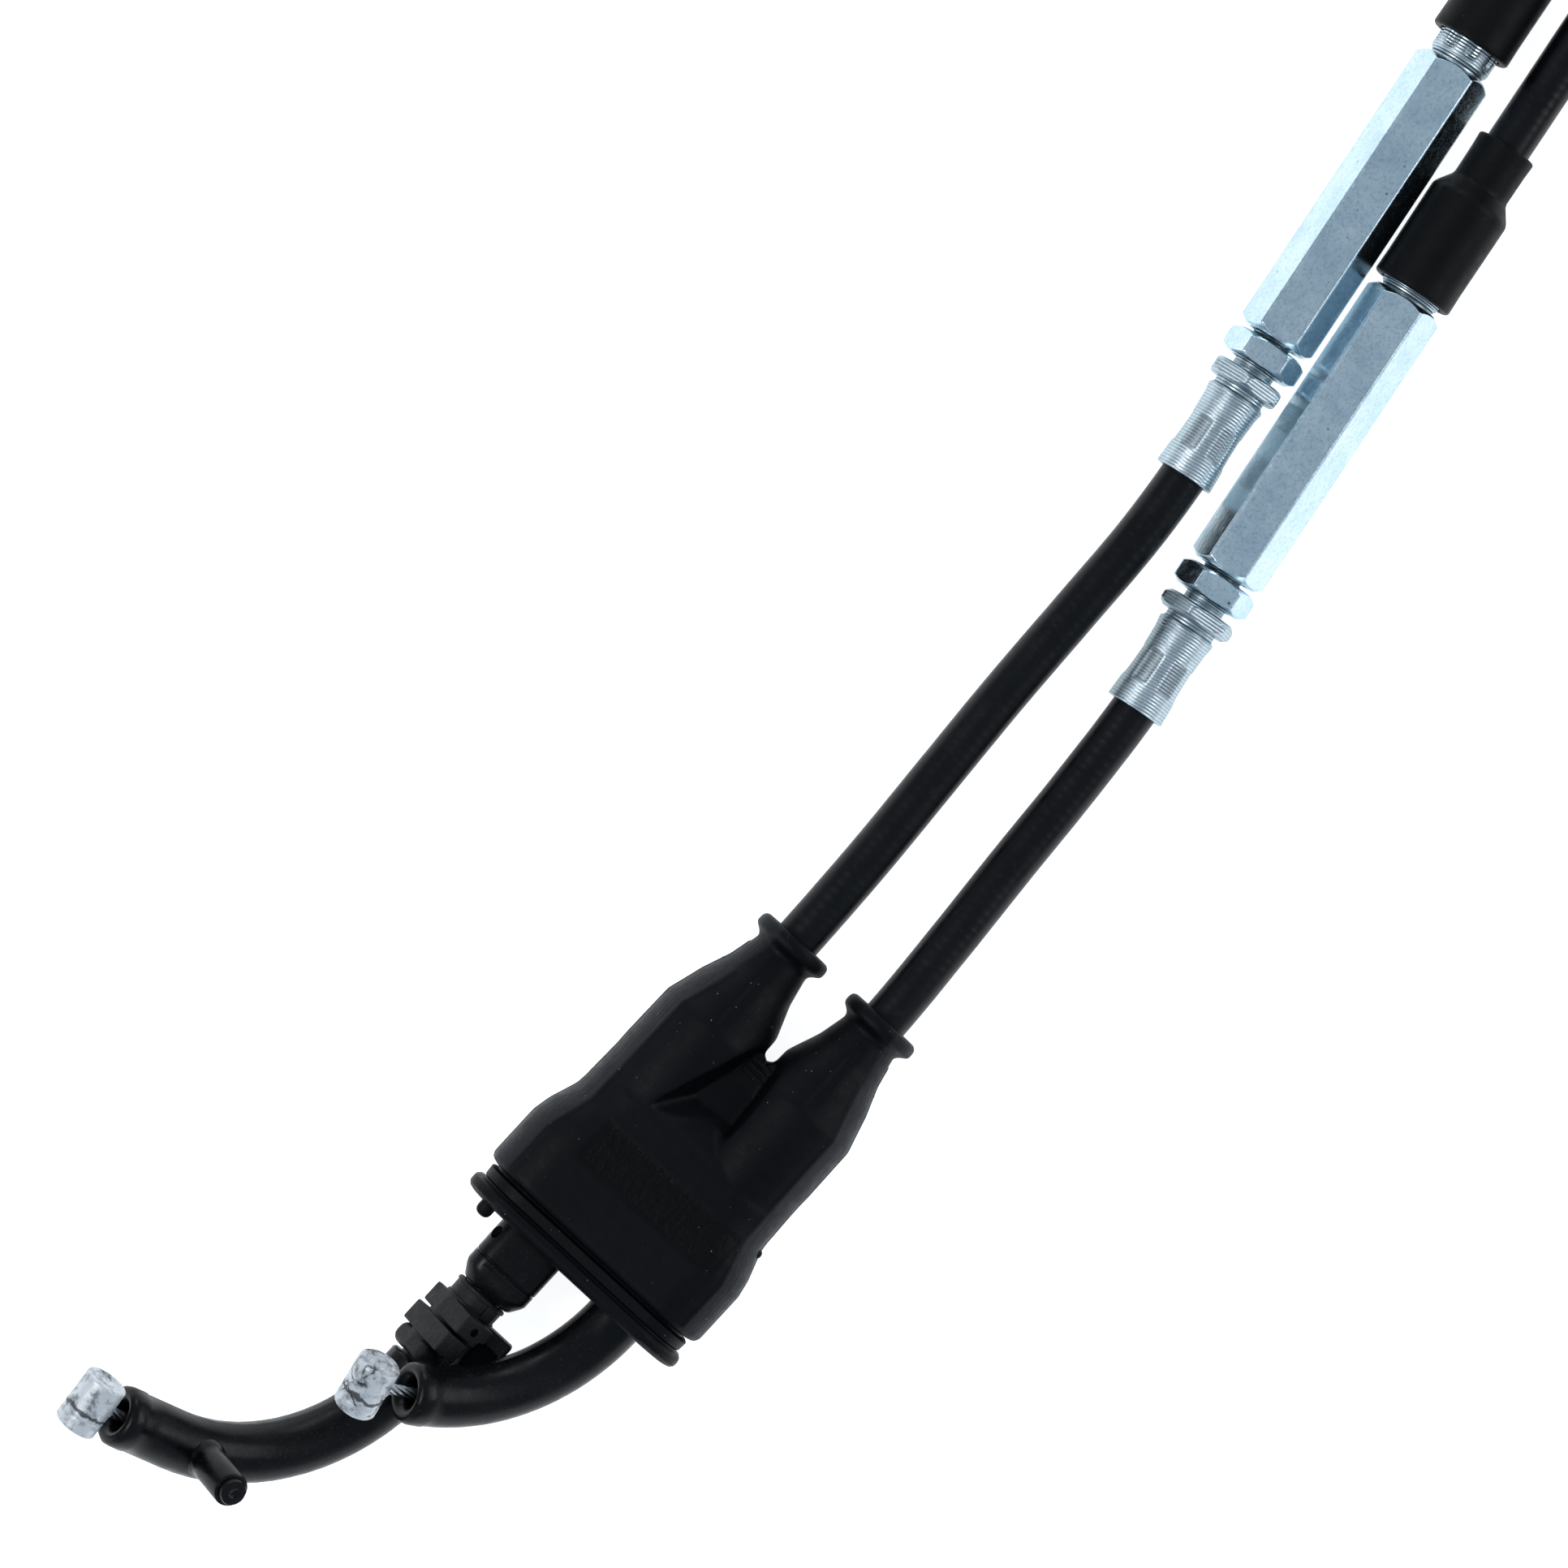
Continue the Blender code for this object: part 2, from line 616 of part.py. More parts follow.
def make_holder(finish):
    """Collar, two clamp blocks, a lug with a pocket and a neck, round the elbow's spigot."""
    half = COLLAR_HALF
    holder = add(
        "pull_holder",
        tilted_box("pull_holder", HOLDER_START, COLLAR_END + 0.1, (-half, half - 0.2, -half, half)),
        finish,
    )
    core = turned("core", (
        (HOLDER_START + 1.0, 0.0), (HOLDER_START + 1.0, NECK_R), (NECK_END, NECK_R), (NECK_END, 0.0),
    ), SIDES, closed=False)
    core.transform(Matrix.Translation((0, PULL_Y * MM, BOOT_HEIGHT_Z * MM)))
    carve(holder, loose("core", core), "UNION")
    blocks = (
        (COLLAR_END, BLOCK_ONE_END, BLOCK_ONE),
        (BLOCK_TWO_START, BLOCK_TWO_END, BLOCK_TWO),
    )
    for x0, x1, block in blocks:
        carve(holder, loose("block", tilted_box("block", x0, x1, block)), "UNION")
    lug = box_mesh(
        "lug",
        (LUG[0], LUG[2], BOOT_HEIGHT_Z + LUG_BOTTOM), (LUG[1], LUG[3], BOOT_HEIGHT_Z + LUG_TOP),
    )
    carve(holder, loose("lug", lug), "UNION")
    top = BOOT_HEIGHT_Z + LUG_TOP
    pocket = box_mesh(
        "pocket", (POCKET[0], POCKET[2], top - POCKET_DEPTH), (POCKET[1], POCKET[3], top + 6.0)
    )
    carve(holder, loose("pocket", pocket), "DIFFERENCE")
    bore = turned("holder_bore", (
        (HOLDER_START - 1.0, 0.0), (HOLDER_START - 1.0, HOLDER_BORE_R),
        (NECK_END + 1.0, HOLDER_BORE_R), (NECK_END + 1.0, 0.0),
    ), SIDES, closed=False)
    bore.transform(Matrix.Translation((0, PULL_Y * MM, BOOT_HEIGHT_Z * MM)))
    carve(holder, loose("holder_bore", bore), "DIFFERENCE")
    return place(holder)


def make_socket(finish):
    """The smooth body between the holder and the boot ferrule."""
    w, h, c = SOCKET_HALF_W, SOCKET_HALF_H, SOCKET_CORNER
    start = NECK_END + GAP
    mesh = lofted("pull_socket", (
        (start, w - 1.2, h - 1.0, c), (start + 1.6, w, h, c), (ELBOW_REAR_X, w, h, c),
    ))
    socket = add("pull_socket", mesh, finish)
    bore = turned("socket_bore", (
        (start - 1.0, 0.0), (start - 1.0, HOLDER_BORE_R),
        (ELBOW_REAR_X + 1.0, HOLDER_BORE_R), (ELBOW_REAR_X + 1.0, 0.0),
    ), SIDES, closed=False)
    carve(socket, loose("socket_bore", bore), "DIFFERENCE")
    return place(socket, (0, PULL_Y - 0.3, BOOT_HEIGHT_Z))


def make_boot_ferrule(name, y, finish):
    """A crimped cup inside the boot that butts on an elbow and takes a conduit."""
    end = BOOT_FERRULE_LENGTH
    floor = BOOT_FERRULE_FLOOR
    mesh = turned(name, (
        (0.0, ELBOW_BORE_R), (0.0, BOOT_FERRULE_R), (4.0, BOOT_FERRULE_R), (4.6, BOOT_FERRULE_R - 0.3),
        (9.4, BOOT_FERRULE_R - 0.3), (10.0, BOOT_FERRULE_R), (end, BOOT_FERRULE_R),
        (end, CUP_R), (floor, CUP_R), (floor, ELBOW_BORE_R),
    ))
    return place(add(name, mesh, finish), (ELBOW_REAR_X + GAP, y, BOOT_HEIGHT_Z))


# ---------------------------------------------------------------- conduits and wires
def make_lower_conduit(side, points, foot, finishes):
    """Jacket and winding of a lower conduit, from the boot ferrule to the adjuster's cup."""
    route = [
        *points,
        *(tuple(adjuster_point(foot, s)) for s in (0.0, BARREL_CUP - 2 * GAP)),
    ]
    spaced = smooth_route(route, 2.2 * CONDUIT_R * 2)
    jacket_bore = CONDUIT_R - JACKET_WALL
    winding_r = jacket_bore - GAP
    pipe(side + "_jacket", spaced, CONDUIT_R, jacket_bore, finishes["jacket_vinyl"])
    pipe(side + "_winding", spaced, winding_r, winding_r - WINDING_WALL, finishes["steel_wire"], 2)
    return spaced


def make_wire(side, bend_x, y, bend, tail, rear, lower, foot, nipple_out, finish):
    """The inner wire from the nipple through elbow, boot, conduit and adjuster."""
    route = elbow_route(bend_x, y, bend, tail, rear)
    heading = elbow_point(bend_x, y, bend)[1]
    route[-1] = route[-1] + heading * (nipple_out - NIPPLE_R - GAP)
    through = list(reversed(route)) + [Vector(p) for p in lower]
    through.append(adjuster_point(foot, UPPER_CUP_FLOOR - 2 * GAP))
    obj = rod(side + "_wire", through, WIRE_R, 1)
    obj.data.materials.append(finish.copy())
    return place(obj)


# ---------------------------------------------------------------- adjusters
def on_adjuster(obj, foot):
    """Stands a piece that was turned about X on an adjuster's axis."""
    return place(obj, (*foot, ADJUSTER_Z), (0, 0, ADJUSTER_ANGLE))


def make_lower_ferrule(side, foot, turn, finish):
    """Crimped barrel with a cup, a thin hexagon and the threaded shank."""
    hex_start, hex_end = FERRULE_HEX
    mesh = turned(side + "_lower_ferrule", (
        (0.0, CUP_R), (0.0, BARREL_R), (2.0, BARREL_R - 0.1), (8.6, BARREL_WAIST_R),
        (BARREL_LENGTH, BARREL_R), (BARREL_LENGTH + 0.4, BARREL_R - 0.5),
        (hex_start + 0.5, BARREL_R - 0.5), (hex_start + 0.5, SHANK_R), (SHANK_END - 0.6, SHANK_R),
        (SHANK_END, SHANK_R - 0.5), (SHANK_END, WIRE_BORE_R),
        (BARREL_CUP, WIRE_BORE_R), (BARREL_CUP, CUP_R),
    ))
    ferrule = add(side + "_lower_ferrule", mesh, finish)
    flange = bored_prism("flange", hex_start, hex_end, FERRULE_AF, WIRE_BORE_R + 0.6, turn, 0.3)
    carve(ferrule, flange, "UNION")
    return on_adjuster(ferrule, foot)


def make_adjuster(side, foot, turns, cap_start, finishes):
    """Lower ferrule, lock nut, sleeve, upper ferrule and dust cap of one adjuster."""
    steel = finishes["zinc_plate"]
    hex_turn, nut_turn, sleeve_turn = turns
    make_lower_ferrule(side, foot, hex_turn, steel)
    on_adjuster(
        bored_prism(side + "_lock_nut", *NUT, NUT_AF, SHANK_R + RUNNING, nut_turn, 0.35), foot
    )
    sleeve = bored_prism(
        side + "_adjuster_sleeve", *SLEEVE, SLEEVE_AF, SHANK_R + RUNNING, sleeve_turn, 0.6
    )
    cavity = turned("sleeve_cavity", (
        (SLEEVE_CAVITY_START, 0.0), (SLEEVE_CAVITY_START, SLEEVE_CAVITY_R),
        (SLEEVE[1] + 1.0, SLEEVE_CAVITY_R), (SLEEVE[1] + 1.0, 0.0),
    ), SIDES, closed=False)
    carve(sleeve, loose("sleeve_cavity", cavity), "DIFFERENCE")
    on_adjuster(sleeve, foot)
    neck_start, neck_end = UPPER_NECK
    upper = turned(side + "_upper_ferrule", (
        (UPPER_STEM_START, WIRE_BORE_R), (UPPER_STEM_START, UPPER_STEM_R),
        (neck_start, UPPER_STEM_R), (neck_start + 0.1, UPPER_NECK_R - 0.3),
        (neck_start + 0.6, UPPER_NECK_R), (neck_end, UPPER_NECK_R), (neck_end, CUP_R),
        (UPPER_CUP_FLOOR, CUP_R), (UPPER_CUP_FLOOR, WIRE_BORE_R),
    ))
    on_adjuster(add(side + "_upper_ferrule", upper, steel), foot)
    big_end = cap_start + CAP_LENGTH
    nose = big_end + CAP_CONE
    tip = nose + CAP_NOSE_LENGTH
    cap = turned(side + "_dust_cap", (
        (cap_start, CAP_BORE_R), (cap_start, CAP_R), (big_end, CAP_R), (nose, CAP_NOSE_R),
        (tip, CAP_NOSE_R), (tip, CUP_R), (nose, CUP_R), (big_end - 1.0, CAP_BORE_R),
    ), FINE)
    on_adjuster(add(side + "_dust_cap", cap, finishes["cap_rubber"]), foot)


# ---------------------------------------------------------------- nipples
def nipple_mesh(name):
    """A barrel nipple: a short round bar along local X, with bevelled ends."""
    half, edge = NIPPLE_LENGTH / 2, NIPPLE_EDGE
    return turned(name, (
        (-half, 0.0), (-half, NIPPLE_R - edge), (-half + edge, NIPPLE_R),
        (half - edge, NIPPLE_R), (half, NIPPLE_R - edge), (half, 0.0),
    ), FINE, closed=False)


def place_nipple(name, at, wire_heading, lean, finish):
    """A nipple square to its wire, its own axis turned from +X by the lean."""
    obj = add(name, nipple_mesh(name), finish)
    heading = Vector(wire_heading).normalized()
    across = Vector(lean) - Vector(lean).dot(heading) * heading
    across.normalize()
    third = across.cross(heading)
    turn = Matrix((across, heading, third)).transposed().to_euler()
    return place(obj, at, [math.degrees(a) for a in turn])


# ---------------------------------------------------------------- free conduits
def make_cord(side, lead, tail, lift, foot, finishes):
    """Lead, coil and tail of one upper conduit."""
    start = [tuple(adjuster_point(foot, s)) for s in (CONDUIT_SEAT, CONDUIT_SEAT + 14.0)]
    pieces = ((side + "_cord_lead", [*start, *lead]), (side + "_cord_tail", list(tail)))
    for name, points in pieces:
        obj = rod(name, smooth_route(points, 2.2 * CONDUIT_R * 2), CONDUIT_R, 2)
        obj.data.materials.append(finishes["jacket_vinyl"].copy())
        place(obj)
    inner, outer = COIL_MID_R - COIL_HALF, COIL_MID_R + COIL_HALF
    height, round_off = 2 * COIL_HALF, CONDUIT_R * 0.8
    ring = turned(side + "_cord_coil", (
        (0.0, inner + round_off), (round_off, inner), (height - round_off, inner),
        (height, inner + round_off), (height, outer - round_off), (height - round_off, outer),
        (round_off, outer), (0.0, outer - round_off),
    ), 36)
    obj = add(side + "_cord_coil", ring, finishes["jacket_vinyl"])
    place(obj, (COIL_X, COIL_Y, lift), (0, -90, 0))


def make_tie(name, angle, finish):
    """A flat nylon band round both coils, with its lock on the outer side."""
    low = COIL_LIFT - GAP - TIE_WALL
    high = COIL_TOP_LIFT + 2 * COIL_HALF + GAP + TIE_WALL
    inner = COIL_MID_R - COIL_HALF - GAP - TIE_WALL
    outer = COIL_MID_R + COIL_HALF + GAP + TIE_WALL
    half = TIE_WIDTH / 2
    tie = add(name, box_mesh(name, (inner, -half, low), (outer, half, high)), finish)
    lock = box_mesh("lock", (outer - 0.2, -half - 0.6, low + 7.0), (outer + 3.4, half + 0.6, low + 12.5))
    carve(tie, loose("lock", lock), "UNION")
    hole = box_mesh(
        "hole", (inner + TIE_WALL, -half - 2, low + TIE_WALL), (outer - TIE_WALL, half + 2, high - TIE_WALL)
    )
    carve(tie, loose("hole", hole), "DIFFERENCE")
    return place(tie, (COIL_X, COIL_Y, 0.0), (0, 0, angle))


# ---------------------------------------------------------------- throttle-body ends
def make_end(side, mouth, finishes):
    """End ferrule, two nuts, bare wire and nipple, pointing along -X."""
    steel = finishes["zinc_plate"]
    thread_start = END_CUP_LENGTH + END_FLANGE_LENGTH
    ferrule = turned(side + "_end_ferrule", (
        (0.0, CUP_R), (0.0, END_CUP_R), (END_CUP_LENGTH, END_CUP_R), (END_CUP_LENGTH, END_FLANGE_R),
        (thread_start, END_FLANGE_R), (thread_start, END_THREAD_R),
        (END_LENGTH - 0.5, END_THREAD_R), (END_LENGTH, END_THREAD_R - 0.4), (END_LENGTH, WIRE_BORE_R),
        (END_CUP_LENGTH - 2.0, WIRE_BORE_R), (END_CUP_LENGTH - 2.0, CUP_R),
    ))
    at, turn = (*mouth, END_Z), (0, 0, 180)
    place(add(side + "_end_ferrule", ferrule, steel), at, turn)
    for which, start in (("inner", END_NUT_INNER), ("outer", END_NUT_OUTER)):
        nut = bored_prism(
            f"{side}_end_nut_{which}", start, start + END_NUT, NUT_AF, END_THREAD_R + RUNNING, 0.0, 0.35
        )
        place(nut, at, turn)
    nipple_x = mouth[0] - END_LENGTH - END_WIRE
    wire = rod(
        side + "_end_wire",
        [(mouth[0] - END_CUP_LENGTH, mouth[1], END_Z), (nipple_x + NIPPLE_R + GAP, mouth[1], END_Z)],
        WIRE_R, 1,
    )
    wire.data.materials.append(finishes["steel_wire"].copy())
    place(wire)
    place_nipple(
        side + "_end_nipple", (nipple_x, mouth[1], END_Z), (-1, 0, 0), (0, 1, 0), finishes["cast_zinc"]
    )


# ---------------------------------------------------------------- the whole set
def make_frame():
    """The root empty that moves the world origin under the middle of the set."""
    empty = bpy.data.objects.new("cable_set", None)
    bpy.context.scene.collection.objects.link(empty)
    empty.location = (-ORIGIN_X * MM, -ORIGIN_Y * MM, 0.0)
    return empty


def make_grip_end(finishes):
    """Boot, both elbows, the pull elbow's holder and socket, and the ferrules in the boot."""
    make_boot(finishes["boot_rubber"])
    make_pull_elbow(finishes["elbow_nylon"])
    make_holder(finishes["holder_nylon"])
    make_socket(finishes["elbow_nylon"])
    elbow, route = make_elbow(
        "return_elbow", RETURN_BEND_X, RETURN_Y, RETURN_BEND, RETURN_TAIL, ELBOW_REAR_X,
        finishes["elbow_nylon"],
    )
    bore_elbow(elbow, route)
    for side, y in (("pull", PULL_Y), ("return", RETURN_Y)):
        make_boot_ferrule(side + "_boot_ferrule", y, finishes["zinc_plate"])


def make_run(side, bend_x, y, bend, tail, nipple_out, lean, points, foot, finishes):
    """Lower conduit, inner wire and grip-end nipple of one cable."""
    lower = make_lower_conduit(side, points, foot, finishes)
    make_wire(
        side, bend_x, y, bend, tail, ELBOW_REAR_X, lower, foot, nipple_out, finishes["steel_wire"]
    )
    at, heading = elbow_point(bend_x, y, bend)
    place_nipple(
        side + "_nipple", at + heading * (tail + nipple_out), heading, lean, finishes["cast_zinc"]
    )


def main():
    for obj in list(bpy.data.objects):
        bpy.data.objects.remove(obj)
    global FRAME
    FRAME = make_frame()
    finishes = make_materials()
    make_grip_end(finishes)
    make_run(
        "pull", PULL_BEND_X, PULL_Y, PULL_BEND, PULL_TAIL, PULL_NIPPLE_OUT,
        (0.95, 0.16, 0.28), PULL_LOWER, PULL_ADJUSTER, finishes,
    )
    make_run(
        "return", RETURN_BEND_X, RETURN_Y, RETURN_BEND, RETURN_TAIL, RETURN_NIPPLE_OUT,
        (0.89, 0.17, 0.42), RETURN_LOWER, RETURN_ADJUSTER, finishes,
    )
    make_adjuster("pull", PULL_ADJUSTER, (30.0, 2.0, 0.0), PULL_CAP_START, finishes)
    make_adjuster("return", RETURN_ADJUSTER, (17.0, 4.0, -4.0), RETURN_CAP_START, finishes)
    make_cord("pull", PULL_LEAD, PULL_TAIL_ROUTE, COIL_LIFT, PULL_ADJUSTER, finishes)
    make_cord("return", RETURN_LEAD, RETURN_TAIL_ROUTE, COIL_TOP_LIFT, RETURN_ADJUSTER, finishes)
    make_tie("coil_tie_near", 160.0, finishes["tie_nylon"])
    make_tie("coil_tie_far", 0.0, finishes["tie_nylon"])
    make_end("pull", PULL_END, finishes)
    make_end("return", RETURN_END, finishes)


main()
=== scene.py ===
"""Looks of a twin push-pull throttle cable set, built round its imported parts.

Sizes are in millimetres and become metres when a mesh is written. Places are measured from
the middle of the boot's lip, on the floor: +X runs from the lip to the boot's two legs and +Z is up.
"""

import logging
import math
from collections.abc import Callable, Sequence
from dataclasses import dataclass
from enum import Enum

import bmesh
import bpy
import numpy as np
from mathutils import Matrix, Vector

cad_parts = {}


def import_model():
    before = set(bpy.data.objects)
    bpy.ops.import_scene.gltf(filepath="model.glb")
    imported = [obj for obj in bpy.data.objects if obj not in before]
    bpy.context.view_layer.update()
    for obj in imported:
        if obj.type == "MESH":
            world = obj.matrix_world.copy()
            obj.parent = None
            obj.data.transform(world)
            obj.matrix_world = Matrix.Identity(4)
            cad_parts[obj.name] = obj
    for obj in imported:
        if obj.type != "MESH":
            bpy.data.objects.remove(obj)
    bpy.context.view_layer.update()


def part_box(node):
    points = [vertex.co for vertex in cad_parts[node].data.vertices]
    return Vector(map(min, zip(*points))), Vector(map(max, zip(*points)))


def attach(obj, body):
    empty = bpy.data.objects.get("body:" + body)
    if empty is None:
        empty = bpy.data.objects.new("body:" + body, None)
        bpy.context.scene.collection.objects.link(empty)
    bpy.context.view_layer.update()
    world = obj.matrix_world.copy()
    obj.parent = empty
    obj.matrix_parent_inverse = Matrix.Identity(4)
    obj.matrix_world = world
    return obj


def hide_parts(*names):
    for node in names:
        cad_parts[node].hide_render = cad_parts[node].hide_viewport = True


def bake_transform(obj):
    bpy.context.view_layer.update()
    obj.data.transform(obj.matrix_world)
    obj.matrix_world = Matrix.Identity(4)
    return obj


LOG = logging.getLogger("cable_set")
MM = 0.001
ROOT = "cable_set"
LIP_BEAD = 1.15                  # half the lip bead's length along X
SHARP = 38.0                     # degrees past which an edge stays sharp
TOGETHER = 1e-7                  # metres within which two points are one
Mesh = bpy.types.Mesh
Object = bpy.types.Object
Material = bpy.types.Material
Output = bpy.types.NodeSocket
Array = np.ndarray
Profile = Sequence[tuple[float, float]]
Shaper = Callable[[Array, Array, Array], Array]


class Side(Enum):
    """The cable that opens the throttle and the one that closes it."""

    PULL = "pull"
    RETURN = "return"


class Place:
    """Turns places measured from the boot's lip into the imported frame's metres."""

    def __init__(self) -> None:
        """Reads the lip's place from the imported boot."""
        low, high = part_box("boot")
        self.lip = np.array([low.x + LIP_BEAD * MM, (low.y + high.y) / 2, 0.0])

    def metres(self, points: Sequence) -> Array:
        """Places in millimetres from the lip as places in the frame.

        Args:
            points: one place or many, in millimetres.
        Returns:
            An array of the same shape in metres.
        """
        return np.asarray(points, float) * MM + self.lip

    def stand(self, at: Sequence[float] = (0.0, 0.0, 0.0)) -> Matrix:
        """A move from the origin to a place in millimetres from the lip."""
        return Matrix.Translation(Vector(self.metres(at)))

    def matrix(self, at: Sequence[float], heading: Sequence[float], spin: float = 0.0) -> Matrix:
        """Where a piece that was made along local X goes.

        Args:
            at: its local origin, in millimetres from the lip.
            heading: the direction of its local X.
            spin: degrees that it is turned about its own axis.
        Returns:
            A matrix from local metres to the frame.
        """
        turn = Vector(heading).to_track_quat("X", "Z").to_matrix().to_4x4()
        spun = turn @ Matrix.Rotation(math.radians(spin), 4, "X")
        return self.stand(at) @ spun


# ------------------------------------------------------------------ finishes
class Nodes:
    """A node tree, filled with one node after another."""

    def __init__(self, tree: bpy.types.NodeTree) -> None:
        """Starts on a tree."""
        self.tree = tree

    def add(self, kind: str, links: dict | None = None, **settings: object) -> bpy.types.Node:
        """Adds a node.

        Args:
            kind: its type name.
            links: socket name or number to a value, or to the output that feeds it.
            settings: properties of the node.
        Returns:
            The new node.
        """
        node = self.tree.nodes.new(kind)
        for key, value in settings.items():
            setattr(node, key, value)
        for key, value in (links or {}).items():
            if isinstance(value, Output):
                self.tree.links.new(value, node.inputs[key])
            else:
                node.inputs[key].default_value = value
        return node

    def math(self, operation: str, *values: object) -> Output:
        """The result of a Math node on sockets or numbers."""
        return self.add("ShaderNodeMath", dict(enumerate(values)), operation=operation).outputs[0]


class Shader(Nodes):
    """A material's nodes round its Principled shader."""

    def __init__(self, name: str) -> None:
        """Starts a material.

        Args:
            name: its name.
        """
        self.material = bpy.data.materials.new(name)
        self.material.use_nodes = True
        super().__init__(self.material.node_tree)
        self.principled = self.tree.nodes["Principled BSDF"]
        self.space = self.add("ShaderNodeTexCoord").outputs["Object"]

    def marked(self, name: str) -> Output:
        """A number that the mesh holds on its points."""
        return self.add("ShaderNodeAttribute", attribute_name=name).outputs["Fac"]

    def along(self) -> Output:
        """The distance along the piece in millimetres, from its UV map."""
        return self.add("ShaderNodeSeparateXYZ", {0: self.add("ShaderNodeUVMap").outputs[0]}).outputs[1]

    def wave(self, place: Output, pitch: float) -> Output:
        """The phase of a wave of some pitch at a distance along the piece."""
        return self.math("MULTIPLY", place, 2 * math.pi / pitch)

    def specks(self, scale: float, low: float, high: float) -> Output:
        """1 in small scattered spots and 0 outside them, from one size to another.

        Args:
            scale: cells in a metre.
            low: the distance from a cell's middle up to which it is 1.
            high: the distance from which it is 0.
        Returns:
            The share.
        """
        links = {"Vector": self.space, "Scale": scale}
        cells = self.add("ShaderNodeTexVoronoi", links).outputs["Distance"]
        return self.band(cells, low, high, (1.0, 0.0))

    def drawn(self, scale: Sequence[float], detail: float) -> Output:
        """A noise with a scale of its own along each axis."""
        links = {"Vector": self.stretched(scale), "Scale": 1.0, "Detail": detail}
        return self.add("ShaderNodeTexNoise", links).outputs["Fac"]

    def noise(self, scale: float, detail: float = 4.0, rough: float = 0.55) -> Output:
        """A fractal noise from 0 to 1 over the piece, at a scale in cells per metre."""
        settings = {"Vector": self.space, "Scale": scale, "Detail": detail, "Roughness": rough}
        return self.add("ShaderNodeTexNoise", settings).outputs["Fac"]

    def stretched(self, scale: Sequence[float]) -> Output:
        """The piece's own coordinates, scaled along each axis."""
        links = {"Vector": self.space, "Scale": tuple(scale)}
        return self.add("ShaderNodeMapping", links).outputs[0]

    def band(self, value: Output, low: float, high: float, to: tuple[float, float]) -> Output:
        """A value's stretch from low to high, mapped on another stretch and clamped.

        Args:
            value: the socket to map.
            low: the value that gives the first of to.
            high: the value that gives the second of to.
            to: the two results.
        Returns:
            The mapped socket.
        """
        links = {0: value, 1: low, 2: high, 3: to[0], 4: to[1]}
        return self.add("ShaderNodeMapRange", links).outputs[0]

    def mix(self, share: Output, a: Sequence[float], b: Sequence[float]) -> Output:
        """A colour between two, by a share.

        Args:
            share: how far it is the second, from 0 to 1.
            a: the first colour.
            b: the second colour.
        Returns:
            The colour.
        """
        node = self.add("ShaderNodeMix", {0: share}, data_type="RGBA")
        for key, colour in ((6, a), (7, b)):
            if isinstance(colour, Output):
                self.tree.links.new(colour, node.inputs[key])
            else:
                node.inputs[key].default_value = (*colour, 1.0)
        return node.outputs[2]

    def bump(
        self, height: Output, distance: float, strength: float = 1.0,
        under: Output | None = None,
    ) -> Output:
        """A bump of some millimetres.

        Args:
            height: the height's socket, from 0 to 1.
            distance: the height in millimetres.
            strength: how much of it shows.
            under: a coarser bump that this one lies on.
        Returns:
            The normal's socket.
        """
        links = {"Height": height, "Distance": distance * MM, "Strength": strength}
        if under is not None:
            links["Normal"] = under
        return self.add("ShaderNodeBump", links).outputs["Normal"]

    def dress(self, **sockets: object) -> Material:
        """Sets the Principled shader's sockets, by names with _ for a space, and gives the material.

        Args:
            sockets: what each socket holds, a value or another node's output.
        Returns:
            The material.
        """
        for key, value in sockets.items():
            socket = self.principled.inputs[key.replace("_", " ")]
            if isinstance(value, Output):
                self.tree.links.new(value, socket)
            else:
                socket.default_value = (*value, 1.0) if isinstance(value, tuple) else value
        return self.material


@dataclass(frozen=True)
class Rubber:
    """Moulded rubber with a fine grain, cloudy wear, dust specks and a painted sheen on its flanks."""

    name: str
    colour: tuple[float, float, float]
    worn: tuple[float, float, float]
    roughness: float
    gloss: float = 0.2
    grain: float = 0.03
    dust: float = 0.5
    # painted reflection: the paler grey that the flanks are lightened to, in place of the floor's reflection
    # on their side faces
    flank_sheen: tuple[float, float, float] = (0.020, 0.021, 0.024)
    powder: tuple[float, float, float] = (0.22, 0.22, 0.225)

    def build(self) -> Material:
        """Makes the material; the mesh says where it is sunk and rough, and where its flanks are drawn along
        X and lit by a painted sheen.

        Returns:
            The material.
        """
        s = Shader(self.name)
        patch = s.marked("patch")
        flank = s.marked("flank")
        cloud = s.band(s.noise(95.0, 5.0), 0.35, 0.7, (0.0, 1.0))
        clean = s.mix(cloud, self.colour, self.worn)
        # painted reflection: the flanks are lightened towards a paler grey, in place of the floor's
        # reflection on them
        edge = s.mix(s.math("MULTIPLY", flank, 0.55), clean, self.flank_sheen)
        base = s.mix(s.math("MULTIPLY", patch, 0.8), edge, tuple(c * 0.25 for c in self.colour))
        patchy = s.band(s.noise(60.0, 2.0), 0.4, 0.62, (0.0, self.dust))
        dusty = s.mix(s.math("MULTIPLY", s.specks(640.0, 0.04, 0.065), patchy), base, self.powder)
        fine = s.bump(s.noise(2600.0, 6.0, 0.7), self.grain)
        wavy = s.bump(s.noise(180.0, 3.0), 0.09, 0.6, fine)
        leather = s.math("MULTIPLY", s.drawn((800.0, 1500.0, 1200.0), 5.0), patch)
        lines = s.math("MULTIPLY", s.drawn((60.0, 2600.0, 2600.0), 3.0), flank)
        etched = s.bump(lines, 0.07, 0.9, s.bump(leather, 0.2, 1.0, wavy))
        rough = s.band(s.noise(700.0, 4.0), 0.3, 0.7, (self.roughness - 0.07, self.roughness + 0.09))
        return s.dress(
            Base_Color=dusty, Roughness=rough, Normal=etched, Specular_IOR_Level=self.gloss
        )


